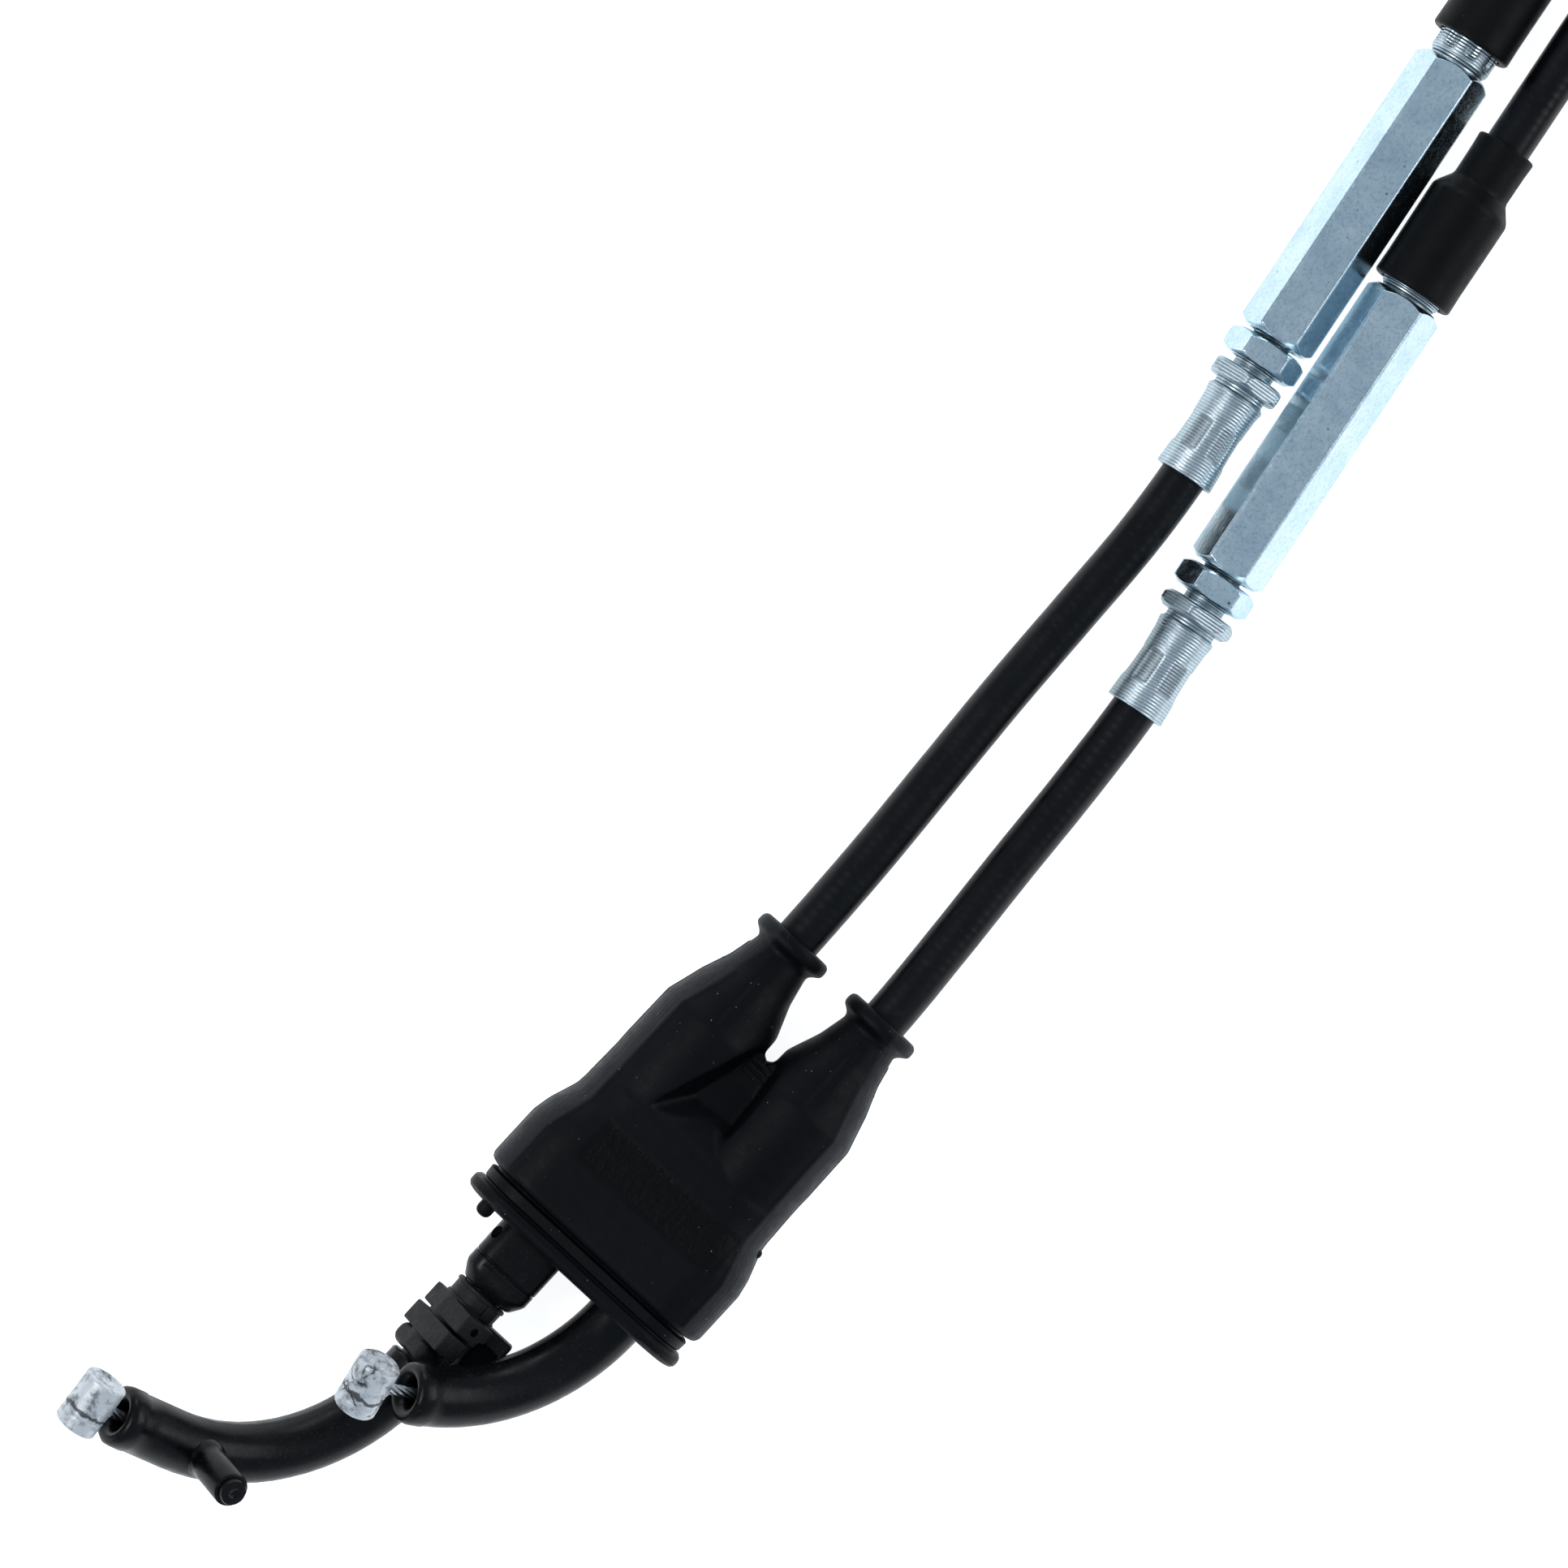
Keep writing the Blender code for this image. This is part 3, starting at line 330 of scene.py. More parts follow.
@dataclass(frozen=True)
class Nylon:
    """Glass-filled nylon: smooth and slightly cloudy, or grainy where the mould was etched."""

    name: str
    colour: tuple[float, float, float]
    roughness: float
    grain: float
    gloss: float = 0.3

    def build(self) -> Material:
        """Makes the material.

        Returns:
            The material.
        """
        s = Shader(self.name)
        cloud = s.band(s.noise(150.0, 6.0), 0.35, 0.68, (0.0, 1.0))
        paler = tuple(c * 1.6 + 0.001 for c in self.colour)
        base = s.mix(cloud, self.colour, paler)
        fleck = s.band(s.noise(3200.0, 2.0), 0.62, 0.72, (0.0, 0.35))
        speckled = s.mix(fleck, base, (0.05, 0.05, 0.053))
        etched = s.bump(s.noise(1500.0, 5.0, 0.65), self.grain)
        flow = s.bump(s.noise(260.0, 3.0), 0.05, 0.7, etched)
        rough = s.band(s.noise(420.0, 5.0), 0.3, 0.7, (self.roughness - 0.08, self.roughness + 0.1))
        return s.dress(Base_Color=speckled, Roughness=rough, Normal=flow, Specular_IOR_Level=self.gloss)


@dataclass(frozen=True)
class Vinyl:
    """Glossy conduit jacket over a wound steel band, whose turns show through as faint ribs."""

    name: str
    colour: tuple[float, float, float]
    roughness: float
    pitch: float = 1.35

    def build(self) -> Material:
        """Makes the material; the piece's UV map runs along it in millimetres.

        Returns:
            The material.
        """
        s = Shader(self.name)
        wobble = s.band(s.noise(130.0, 3.0), 0.2, 0.8, (-2.4, 2.4))
        rib = s.math("SINE", s.math("ADD", s.wave(s.along(), self.pitch), wobble))
        soft = s.band(rib, -0.6, 1.0, (0.0, 1.0))
        patch = s.band(s.noise(85.0, 3.0), 0.42, 0.62, (0.15, 1.0))
        ribs = s.bump(s.math("MULTIPLY", soft, patch), 0.02, 0.9)
        fine = s.bump(s.noise(900.0, 5.0), 0.012, 0.8, ribs)
        scuff = s.band(s.noise(520.0, 6.0, 0.7), 0.56, 0.74, (0.0, 0.55))
        base = s.mix(scuff, self.colour, (0.011, 0.011, 0.015))
        rough = s.band(s.noise(240.0, 5.0), 0.3, 0.72, (self.roughness - 0.05, self.roughness + 0.13))
        return s.dress(Base_Color=base, Roughness=rough, Normal=fine, Specular_IOR_Level=0.19)


@dataclass(frozen=True)
class Plating:
    """Zinc plating, passivated blue-white, with a fine crystalline speckle, darker stains and a painted teal
    shade on faces turned away from view.
    """

    name: str
    bright: tuple[float, float, float]
    stained: tuple[float, float, float]
    roughness: float
    speckle: float = 0.02
    turned: float = 0.0

    def build(self) -> Material:
        """Makes the material; tool marks follow the piece's UV map, which is in millimetres.

        Returns:
            The material.
        """
        s = Shader(self.name)
        blotch = s.band(s.noise(240.0, 6.0, 0.6), 0.36, 0.72, (0.0, 1.0))
        base = s.mix(blotch, self.bright, self.stained)
        crystal = s.band(s.noise(2300.0, 4.0, 0.7), 0.48, 0.68, (0.0, 0.5))
        speckled = s.mix(crystal, base, tuple(c * 0.55 for c in self.stained))
        where = s.band(s.noise(150.0, 4.0), 0.57, 0.66, (0.0, 1.0))
        pits = s.math("MULTIPLY", s.specks(520.0, 0.08, 0.14), where)
        pitted = s.mix(pits, speckled, (0.07, 0.08, 0.09))
        # painted shade: faces turned away from the camera are darkened towards a teal copy of the stained
        # colour
        turned_away = s.add("ShaderNodeLayerWeight", {"Blend": 0.5}).outputs["Facing"]
        away = s.band(turned_away, 0.15, 0.75, (0.0, 0.5))
        grazing_shade = s.mix(away, pitted, tuple(c * k for c, k in zip(self.stained, (0.62, 0.86, 0.92))))
        # darker colour in the crimp dents, as far as the mesh marks them pressed
        coloured = s.mix(s.marked("pressed"), grazing_shade, (0.20, 0.23, 0.25))
        grain = s.bump(s.noise(1900.0, 5.0, 0.7), self.speckle)
        if self.turned:
            ring = s.math("SINE", s.wave(s.along(), self.turned))
            grain = s.bump(s.band(ring, -1.0, 1.0, (0.0, 1.0)), 0.07, 1.0, grain)
            coloured = s.mix(s.band(ring, -0.6, 0.4, (0.5, 0.0)), coloured, (0.16, 0.19, 0.21))
        dull = s.band(
            s.noise(900.0, 5.0, 0.65), 0.3, 0.72, (self.roughness - 0.07, self.roughness + 0.12)
        )
        return s.dress(Base_Color=coloured, Roughness=dull, Normal=grain, Metallic=1.0)


@dataclass(frozen=True)
class Casting:
    """Rough die-cast zinc: pale, pitted, with dark cracks and rubbed crests."""

    name: str
    pale: tuple[float, float, float]
    dark: tuple[float, float, float]
    ring_at: float = 0.9

    def build(self) -> Material:
        """Makes the material.

        Returns:
            The material.
        """
        s = Shader(self.name)
        coarse = s.noise(620.0, 6.0, 0.65)
        blotch = s.band(coarse, 0.34, 0.52, (0.0, 1.0))
        base = s.mix(blotch, self.dark, self.pale)
        ripple = s.add("ShaderNodeTexNoise", {"Vector": s.space, "Scale": 900.0}).outputs["Color"]
        links = {0: ripple, "Scale": 0.0011}
        push = s.add("ShaderNodeVectorMath", links, operation="SCALE").outputs[0]
        bent = s.add("ShaderNodeVectorMath", {0: s.space, 1: push}, operation="ADD").outputs[0]
        edge = s.add(
            "ShaderNodeTexVoronoi", {"Vector": bent, "Scale": 260.0}, feature="DISTANCE_TO_EDGE"
        ).outputs["Distance"]
        crack = s.band(edge, 0.015, 0.05, (1.0, 0.0))
        some = s.band(s.noise(230.0, 3.0), 0.53, 0.6, (0.0, 1.0))
        cracked = s.mix(s.math("MULTIPLY", crack, some), base, (0.03, 0.03, 0.033))
        wander = s.band(s.noise(420.0, 4.0), 0.2, 0.8, (-0.7, 0.7))
        offset = s.math("ADD", s.math("ADD", s.along(), wander), self.ring_at)
        away = s.math("ABSOLUTE", offset)
        ring = s.band(away, 0.16, 0.36, (0.92, 0.0))
        marked = s.mix(ring, cracked, (0.035, 0.035, 0.038))
        lumps = s.bump(coarse, 0.10)
        fine = s.bump(s.noise(2400.0, 4.0, 0.7), 0.03, 1.0, lumps)
        rough = s.band(s.noise(800.0, 4.0), 0.3, 0.7, (0.34, 0.55))
        return s.dress(Base_Color=marked, Roughness=rough, Normal=fine, Metallic=0.35)


class Finishes:
    """Every finish of the set, made once."""

    def __init__(self) -> None:
        """Builds the materials."""
        self.boot = Rubber(
            "boot_rubber", (0.0012, 0.0015, 0.0024), (0.0023, 0.0027, 0.0039), 0.46, 0.1, 0.04, 0.9
        ).build()
        self.cap = Rubber(
            "cap_rubber", (0.0016, 0.0016, 0.0020), (0.0026, 0.0026, 0.0030), 0.44, 0.12, 0.02, 0.2
        ).build()
        self.jacket = Vinyl("jacket_vinyl", (0.0016, 0.0016, 0.0027), 0.29).build()
        self.elbow = Nylon("elbow_nylon", (0.0013, 0.0013, 0.0017), 0.29, 0.012, 0.16).build()
        self.holder = Nylon("holder_nylon", (0.0032, 0.0032, 0.0036), 0.5, 0.11, 0.22).build()
        self.tie = Nylon("tie_nylon", (0.006, 0.006, 0.0065), 0.42, 0.02).build()
        self.zinc = Plating("zinc_plate", (0.72, 0.81, 0.87), (0.52, 0.64, 0.72), 0.17, 0.028).build()
        self.turned = Plating(
            "turned_zinc", (0.62, 0.69, 0.73), (0.46, 0.54, 0.59), 0.32, 0.010, 0.44
        ).build()
        self.cast = Casting("cast_zinc", (0.58, 0.60, 0.63), (0.16, 0.17, 0.19)).build()
        self.wire = Plating("steel_wire", (0.62, 0.63, 0.65), (0.34, 0.35, 0.37), 0.30, 0.01).build()


# ------------------------------------------------------------------ mesh work
def mesh_object(name: str, mesh: Mesh, finish: Material) -> Object:
    """Links a mesh as an object at the origin with one finish.

    Args:
        name: the object's name.
        mesh: its mesh.
        finish: its material.
    Returns:
        The object.
    """
    mesh.materials.clear()
    mesh.materials.append(finish)
    obj = bpy.data.objects.new(name, mesh)
    bpy.context.scene.collection.objects.link(obj)
    return obj


def mark(mesh: Mesh, name: str, values: Array) -> None:
    """Keeps a number for each point of a mesh, where a finish can read it.

    Args:
        mesh: the mesh.
        name: the name that the finish asks for.
        values: the numbers.
    """
    mesh.attributes.new(name, "FLOAT", "POINT").data.foreach_set("value", values.astype(np.float32))


def shaded(mesh: Mesh, sharp: float = SHARP) -> Mesh:
    """Shades a mesh smooth up to an angle.

    Args:
        mesh: the mesh.
        sharp: the angle in degrees past which an edge is sharp.
    Returns:
        The same mesh.
    """
    mesh.shade_smooth()
    mesh.set_sharp_from_angle(angle=math.radians(sharp))
    return mesh


def tidy_mesh(mesh: Mesh, sharp: float = SHARP, merge: bool = True) -> Mesh:
    """Points a mesh's faces out and shades it.

    Args:
        mesh: the mesh.
        sharp: the angle in degrees past which an edge is sharp.
        merge: whether points on one place become one.
    Returns:
        The same mesh.
    """
    bm = bmesh.new()
    bm.from_mesh(mesh)
    if merge:
        bmesh.ops.remove_doubles(bm, verts=bm.verts, dist=TOGETHER)
    bmesh.ops.recalc_face_normals(bm, faces=bm.faces)
    bm.to_mesh(mesh)
    bm.free()
    return shaded(mesh, sharp)


def skin(
    name: str, rings: Array, ring_loop: bool = False, caps: bool = True,
    along: Array | None = None, sharp: float = SHARP,
) -> Mesh:
    """A closed mesh through rings of points.

    Args:
        name: the mesh's name.
        rings: (rings, points in each, 3) places in metres.
        ring_loop: whether the last ring joins the first one.
        caps: whether open ends are filled.
        along: each ring's distance along the piece in millimetres, for the UV map.
        sharp: the angle in degrees past which an edge is sharp.
    Returns:
        The mesh, with its faces pointing out.
    """
    count, around = rings.shape[:2]
    index = np.arange(count * around).reshape(count, around)
    a = index if ring_loop else index[:-1]
    b = np.roll(index, -1, 0) if ring_loop else index[1:]
    quads = np.stack([a, np.roll(a, -1, 1), np.roll(b, -1, 1), b], -1).reshape(-1, 4)
    faces = [tuple(q) for q in quads.tolist()]
    if caps and not ring_loop:
        faces += [tuple(index[0][::-1].tolist()), tuple(index[-1].tolist())]
    mesh = bpy.data.meshes.new(name)
    mesh.from_pydata(rings.reshape(-1, 3).tolist(), [], faces)
    if along is not None:
        layer = mesh.uv_layers.new(name="along")
        loops = np.zeros(len(mesh.loops), np.int32)
        mesh.loops.foreach_get("vertex_index", loops)
        uv = np.stack([(loops % around) / around, np.asarray(along)[loops // around]], -1)
        layer.data.foreach_set("uv", uv.astype(np.float32).ravel())
    return tidy_mesh(mesh, sharp, merge=False)


def densify(profile: Profile, step: float, closed: bool) -> Array:
    """Adds points to a profile so that none are further apart than a step.

    Args:
        profile: (along, radius) points.
        step: the most between two points.
        closed: whether the profile comes back to its start.
    Returns:
        The points as an array.
    """
    points = [np.array(p, float) for p in profile]
    ends = points[1:] + ([points[0]] if closed else [])
    made = []
    for a, b in zip(points, ends):
        parts = max(1, math.ceil(np.linalg.norm(b - a) / step))
        made += [a + (b - a) * k / parts for k in range(parts)]
    if not closed:
        made.append(points[-1])
    return np.array(made)


def rounded(profile: Profile, radius: float, closed: bool = True, steps: int = 4) -> Profile:
    """Rounds a profile's corners.

    Args:
        profile: (along, radius) points.
        radius: the most that a corner is cut back along each side.
        closed: whether the profile is a loop; the ends of an open one stay.
        steps: points on each rounded corner, less one.
    Returns:
        The rounded profile.
    """
    p = [np.array(q, float) for q in profile]
    made: list[tuple[float, float]] = []
    for i, corner in enumerate(p):
        if not closed and i in (0, len(p) - 1):
            made.append(tuple(corner))
            continue
        before, after = p[i - 1], p[(i + 1) % len(p)]
        near = min(radius, 0.45 * np.linalg.norm(before - corner), 0.45 * np.linalg.norm(after - corner))
        a = corner + (before - corner) / max(np.linalg.norm(before - corner), 1e-9) * near
        b = corner + (after - corner) / max(np.linalg.norm(after - corner), 1e-9) * near
        for k in range(steps + 1):
            t = k / steps
            made.append(tuple((1 - t) ** 2 * a + 2 * t * (1 - t) * corner + t * t * b))
    return made


def lathe(
    name: str, profile: Profile, sides: int = 64, closed: bool = True, step: float = 9.0,
    shape: Shaper | None = None, start: float = 0.0, sharp: float = SHARP,
) -> Mesh:
    """A profile turned about local X, whose radius may vary round the piece.

    Args:
        name: the mesh's name.
        profile: (along, radius) points in millimetres; a closed one goes round a wall, and
            an open one starts and ends near the axis.
        sides: points round the piece.
        closed: whether the profile is a loop.
        step: the most between two rings.
        shape: gives new radii from arrays of along, angle and radius.
        start: the angle of the first point, in degrees.
        sharp: the angle in degrees past which an edge is sharp.
    Returns:
        The mesh.
    """
    points = densify(profile, step, closed)
    angles = math.radians(start) + np.linspace(0, 2 * math.pi, sides, endpoint=False)
    x = np.repeat(points[:, :1], sides, 1)
    r = np.repeat(points[:, 1:], sides, 1)
    theta = np.repeat(angles[None, :], len(points), 0)
    if shape is not None:
        r = shape(x, theta, r)
    rings = np.stack([x, r * np.cos(theta), r * np.sin(theta)], -1) * MM
    return skin(name, rings, ring_loop=closed, along=points[:, 0], sharp=sharp)


def hexagon(across: float, turn: float = 0.0) -> Shaper:
    """A shaper that flattens a turned piece to a hexagon with slightly broken corners.

    Args:
        across: the distance across flats in millimetres.
        turn: the angle of one corner, in degrees.
    Returns:
        The shaper.
    """
    def cut(_x: Array, theta: Array, r: Array) -> Array:
        """The smaller of the turned radius and the hexagon's."""
        sixth = math.pi / 3
        off = (theta - math.radians(turn)) % sixth - sixth / 2
        flat = across / 2 / np.cos(off)
        return np.minimum(r, np.minimum(flat, across / math.sqrt(3) * 0.99))

    return cut


def threaded(pitch: float, depth: float, start: float, end: float, outer: float) -> Shaper:
    """A shaper that cuts a right-hand thread in a turned piece's outer wall.

    Args:
        pitch: the thread's pitch in millimetres.
        depth: the thread's depth.
        start: where the thread starts along the piece.
        end: where it ends.
        outer: radii under this less the depth are left alone.
    Returns:
        The shaper.
    """
    def cut(x: Array, theta: Array, r: Array) -> Array:
        """The radius with the thread's groove taken off."""
        phase = (x / pitch - theta / (2 * math.pi)) % 1.0
        tooth = np.clip(1.25 * (1 - np.abs(2 * phase - 1)) - 0.05, 0, 1)
        fade = np.clip((x - start) / pitch, 0, 1) * np.clip((end - x) / pitch, 0, 1)
        groove = depth * (1 - tooth) * fade
        return np.where(r > outer - 0.35, r - groove, r)

    return cut


def distances(path: Array) -> Array:
    """How far along a chain of points each of them is, in their own units."""
    return np.concatenate([[0.0], np.cumsum(np.linalg.norm(np.diff(path, axis=0), axis=1))])


def smooth_route(points: Sequence[Sequence[float]], step: float) -> Array:
    """Evenly spaced places on a smooth curve through points, in the points' own units.

    Args:
        points: what the curve passes through.
        step: the distance between the places.
    Returns:
        The places.
    """
    p = [np.array(q, float) for q in points]
    p = [2 * p[0] - p[1], *p, 2 * p[-1] - p[-2]]
    fine = []
    for a, b, c, d in zip(p, p[1:], p[2:], p[3:]):
        for t in np.arange(12) / 12:
            fine.append(
                0.5 * (2 * b + (c - a) * t + (2 * a - 5 * b + 4 * c - d) * t**2
                       + (3 * b - a - 3 * c + d) * t**3)
            )
    line = np.array([*fine, p[-2]])
    gone = distances(line)
    marks = np.linspace(0, gone[-1], max(3, round(gone[-1] / step) + 1))
    return np.stack([np.interp(marks, gone, line[:, k]) for k in range(3)], -1)


def route_length(points: Array) -> float:
    """The length of a chain of points, in their own units."""
    return float(np.linalg.norm(np.diff(points, axis=0), axis=1).sum())


def frames_along(path: Array) -> tuple[Array, Array, Array]:
    """Headings and two square directions along a path, carried along without twist.

    Args:
        path: (n, 3) places.
    Returns:
        Headings, first square directions and second square directions.
    """
    heading = np.gradient(path, axis=0)
    heading /= np.linalg.norm(heading, axis=1, keepdims=True)
    first = np.zeros_like(path)
    across = np.cross(heading[0], [0.0, 0.0, 1.0])
    if np.linalg.norm(across) < 0.1:
        across = np.cross(heading[0], [0.0, 1.0, 0.0])
    first[0] = across / np.linalg.norm(across)
    for i in range(1, len(path)):
        carried = first[i - 1] - heading[i] * (first[i - 1] @ heading[i])
        first[i] = carried / np.linalg.norm(carried)
    return heading, first, np.cross(heading, first)


def sheath(
    name: str, path: Array, profile: Profile, sides: int = 32, shape: Shaper | None = None,
    sharp: float = SHARP,
) -> Mesh:
    """A hollow tube whose wall's profile follows a path.

    Args:
        name: the mesh's name.
        path: (n, 3) places in metres.
        profile: a loop of (distance along the path, radius) in millimetres. A distance below
            zero or past the end goes straight on.
        sides: points round the tube.
        shape: gives new radii from arrays of along, angle and radius.
        sharp: the angle in degrees past which an edge is sharp.
    Returns:
        The mesh.
    """
    heading, first, second = frames_along(path)
    gone = distances(path)
    points = densify(profile, 0.6 + 0.02 * gone[-1] / MM, True)
    s = np.clip(points[:, 0] * MM, 0, gone[-1])
    past = points[:, 0] * MM - s

    def read(values: Array) -> Array:
        """Values along the path, read at the profile's distances."""
        return np.stack([np.interp(s, gone, values[:, k]) for k in range(3)], -1)

    ahead = read(heading)
    ahead /= np.linalg.norm(ahead, axis=1, keepdims=True)
    centre = read(path) + past[:, None] * ahead
    u, v = read(first), read(second)
    angles = np.linspace(0, 2 * math.pi, sides, endpoint=False)
    r = np.repeat(points[:, 1:], sides, 1)
    theta = np.repeat(angles[None, :], len(points), 0)
    if shape is not None:
        r = shape(np.repeat(points[:, :1], sides, 1), theta, r)
    round_ = u[:, None, :] * np.cos(theta)[..., None] + v[:, None, :] * np.sin(theta)[..., None]
    rings = centre[:, None, :] + round_ * r[..., None] * MM
    return skin(name, rings, ring_loop=True, along=points[:, 0], sharp=sharp)


def tube_profile(start: float, end: float, outer: float, inner: float, step: float) -> Profile:
    """A tube's wall as a loop, with a point every step along both sides.

    Args:
        start: where it starts.
        end: where it ends.
        outer: its outer radius.
        inner: its inner radius.
        step: the distance between the points.
    Returns:
        The loop.
    """
    out = [(x, outer) for x in np.arange(start, end, step)] + [(end, outer)]
    back = [(x, inner) for x in np.arange(end, start, -step)] + [(start, inner)]
    return out + back


def joined(name: str, meshes: Sequence[Mesh], finish: Material) -> Object:
    """One object of several closed meshes.

    Args:
        name: the object's name.
        meshes: the meshes, which are used up.
        finish: its material.
    Returns:
        The object.
    """
    bm = bmesh.new()
    for mesh in meshes:
        bm.from_mesh(mesh)
    together = bpy.data.meshes.new(name)
    bm.to_mesh(together)
    bm.free()
    return mesh_object(name, shaded(together), finish)


def shift(x: float, y: float, z: float) -> Matrix:
    """A move by some millimetres."""
    return Matrix.Translation((x * MM, y * MM, z * MM))


def moved(mesh: Mesh, matrix: Matrix) -> Mesh:
    """Moves a mesh's points by a matrix and gives it back."""
    mesh.transform(matrix)
    return mesh


def block(low: Sequence[float], high: Sequence[float], edge: float = 0.35, segments: int = 3) -> Mesh:
    """A box between two corners in millimetres, with rounded edges.

    Args:
        low: the lowest corner.
        high: the highest corner.
        edge: the edges' radius.
        segments: faces round each edge.
    Returns:
        The mesh.
    """
    bm = bmesh.new()
    middle = Vector([(a + b) / 2 * MM for a, b in zip(low, high)])
    size = [(b - a) * MM for a, b in zip(low, high)]
    matrix = Matrix.Translation(middle) @ Matrix.Diagonal((*size, 1.0))
    bmesh.ops.create_cube(bm, size=1.0, matrix=matrix)
    bmesh.ops.bevel(
        bm, geom=bm.edges[:], offset=edge * MM, segments=segments, profile=0.5, affect="EDGES"
    )
    bmesh.ops.recalc_face_normals(bm, faces=bm.faces)
    mesh = bpy.data.meshes.new("block")
    bm.to_mesh(mesh)
    bm.free()
    return mesh


def evaluated(obj: Object, name: str) -> Mesh:
    """The plain mesh of an object with its modifiers applied; the object is removed.

    Args:
        obj: the object.
        name: the mesh's name.
    Returns:
        The mesh.
    """
    bpy.context.view_layer.update()
    graph = bpy.context.evaluated_depsgraph_get()
    mesh = bpy.data.meshes.new_from_object(obj.evaluated_get(graph), depsgraph=graph)
    mesh.name = name
    bpy.data.objects.remove(obj)
    return mesh


def carved(base: Mesh, tools: Sequence[Mesh], operation: str = "DIFFERENCE") -> Mesh:
    """A mesh after a boolean with each tool in turn.

    Args:
        base: the mesh.
        tools: the tools, which are used up.
        operation: the kind of boolean.
    Returns:
        The new mesh.
    """
    for tool in tools:
        body = bpy.data.objects.new("carved", base)
        cutter = bpy.data.objects.new("tool", tool)
        for obj in (body, cutter):
            bpy.context.scene.collection.objects.link(obj)
        cut = body.modifiers.new("cut", "BOOLEAN")
        cut.operation = operation
        cut.object = cutter
        cut.solver = "EXACT"
        base = evaluated(body, "carved")
        bpy.data.objects.remove(cutter)
    return base


def loft(sections: Sequence[tuple[float, float, float, float]], steps: int = 8) -> Mesh:
    """A solid through rounded rectangles of (x, half width, half height, corner) in millimetres.

    Args:
        sections: the rectangles.
        steps: points on each corner.
    Returns:
        The mesh.
    """
    rings = []
    for x, half_w, half_h, corner in sections:
        corner = min(corner, half_w - 0.01, half_h - 0.01)
        ring = []
        for k, (sy, sz) in enumerate(((1, 1), (-1, 1), (-1, -1), (1, -1))):
            for i in range(steps + 1):
                a = math.pi / 2 * (k + i / steps)
                ring.append((
                    x * MM,
                    (sy * (half_w - corner) + corner * math.cos(a)) * MM,
                    (sz * (half_h - corner) + corner * math.sin(a)) * MM,
                ))
        rings.append(ring)
    return skin("loft", np.array(rings))


def softened(mesh: Mesh, voxel: float, passes: int, factor: float = 0.5) -> Mesh:
    """A mesh remeshed to an even grid of voxels in millimetres, with its creases relaxed.

    Args:
        mesh: the mesh.
        voxel: the size of a voxel.
        passes: how often it is relaxed.
        factor: how far it moves each time.
    Returns:
        The new mesh.
    """
    obj = bpy.data.objects.new("softened", mesh)
    bpy.context.scene.collection.objects.link(obj)
    remesh = obj.modifiers.new("grid", "REMESH")
    remesh.mode = "VOXEL"
    remesh.voxel_size = voxel * MM
    relax = obj.modifiers.new("relax", "SMOOTH")
    relax.iterations = passes
    relax.factor = factor
    return evaluated(obj, "softened")


def pushed(mesh: Mesh, push: Callable[[Array], Array]) -> Mesh:
    """Moves each point of a mesh by what a function of all points gives, in metres.

    Args:
        mesh: the mesh.
        push: gives the moves for all points.
    Returns:
        The same mesh.
    """
    co = np.zeros(len(mesh.vertices) * 3)
    mesh.vertices.foreach_get("co", co)
    points = co.reshape(-1, 3)
    mesh.vertices.foreach_set("co", (points + push(points)).ravel())
    mesh.update()
    return mesh


# ------------------------------------------------------------------ geometry nodes
class NodeTool(Nodes):
    """A Geometry Nodes tree with named number inputs, used once on an object of its own."""

    def __init__(self, name: str, inputs: dict[str, float | int]) -> None:
        """Starts a tree.

        Args:
            name: the tree's name.
            inputs: the name and value of each number input.
        """
        super().__init__(bpy.data.node_groups.new(name, "GeometryNodeTree"))
        self.values = inputs
        self.tree.interface.new_socket("Geometry", in_out="OUTPUT", socket_type="NodeSocketGeometry")
        for key, value in inputs.items():
            kind = "NodeSocketInt" if isinstance(value, int) else "NodeSocketFloat"
            self.tree.interface.new_socket(key, in_out="INPUT", socket_type=kind)
        self.entry = self.tree.nodes.new("NodeGroupInput")
        self.exit = self.tree.nodes.new("NodeGroupOutput")

    def given(self, name: str) -> Output:
        """The output of a named input."""
        return self.entry.outputs[name]

    def row(self, offset: Output, shape: Output) -> Output:
        """Copies of a shape in a row.

        Args:
            offset: the step from one to the next.
            shape: what is copied; the tree's input Count says how often.
        Returns:
            The instances.
        """
        links = {"Count": self.given("Count"), "Offset": offset}
        line = self.add("GeometryNodeMeshLine", links, mode="OFFSET").outputs[0]
        return self.add("GeometryNodeInstanceOnPoints", {"Points": line, "Instance": shape}).outputs[0]

    def run(self, out: Output, finish: Material) -> Mesh:
        """Ends the tree in Realize Instances and Set Material and gives its plain mesh.

        Args:
            out: the geometry to finish.
            finish: its material.
        Returns:
            The mesh, in the object's own space.
        """
        real = self.add("GeometryNodeRealizeInstances", {0: out}).outputs[0]
        dressed = self.add("GeometryNodeSetMaterial", {0: real, "Material": finish}).outputs[0]
        self.tree.links.new(dressed, self.exit.inputs[0])
        host = bpy.data.objects.new("host", bpy.data.meshes.new("host"))
        bpy.context.scene.collection.objects.link(host)
        modifier = host.modifiers.new("nodes", "NODES")
        modifier.node_group = self.tree
        for item in self.tree.interface.items_tree:
            if item.item_type == "SOCKET" and item.in_out == "INPUT":
                modifier[item.identifier] = self.values[item.name]
        mesh = evaluated(host, self.tree.name)
        return tidy_mesh(mesh)


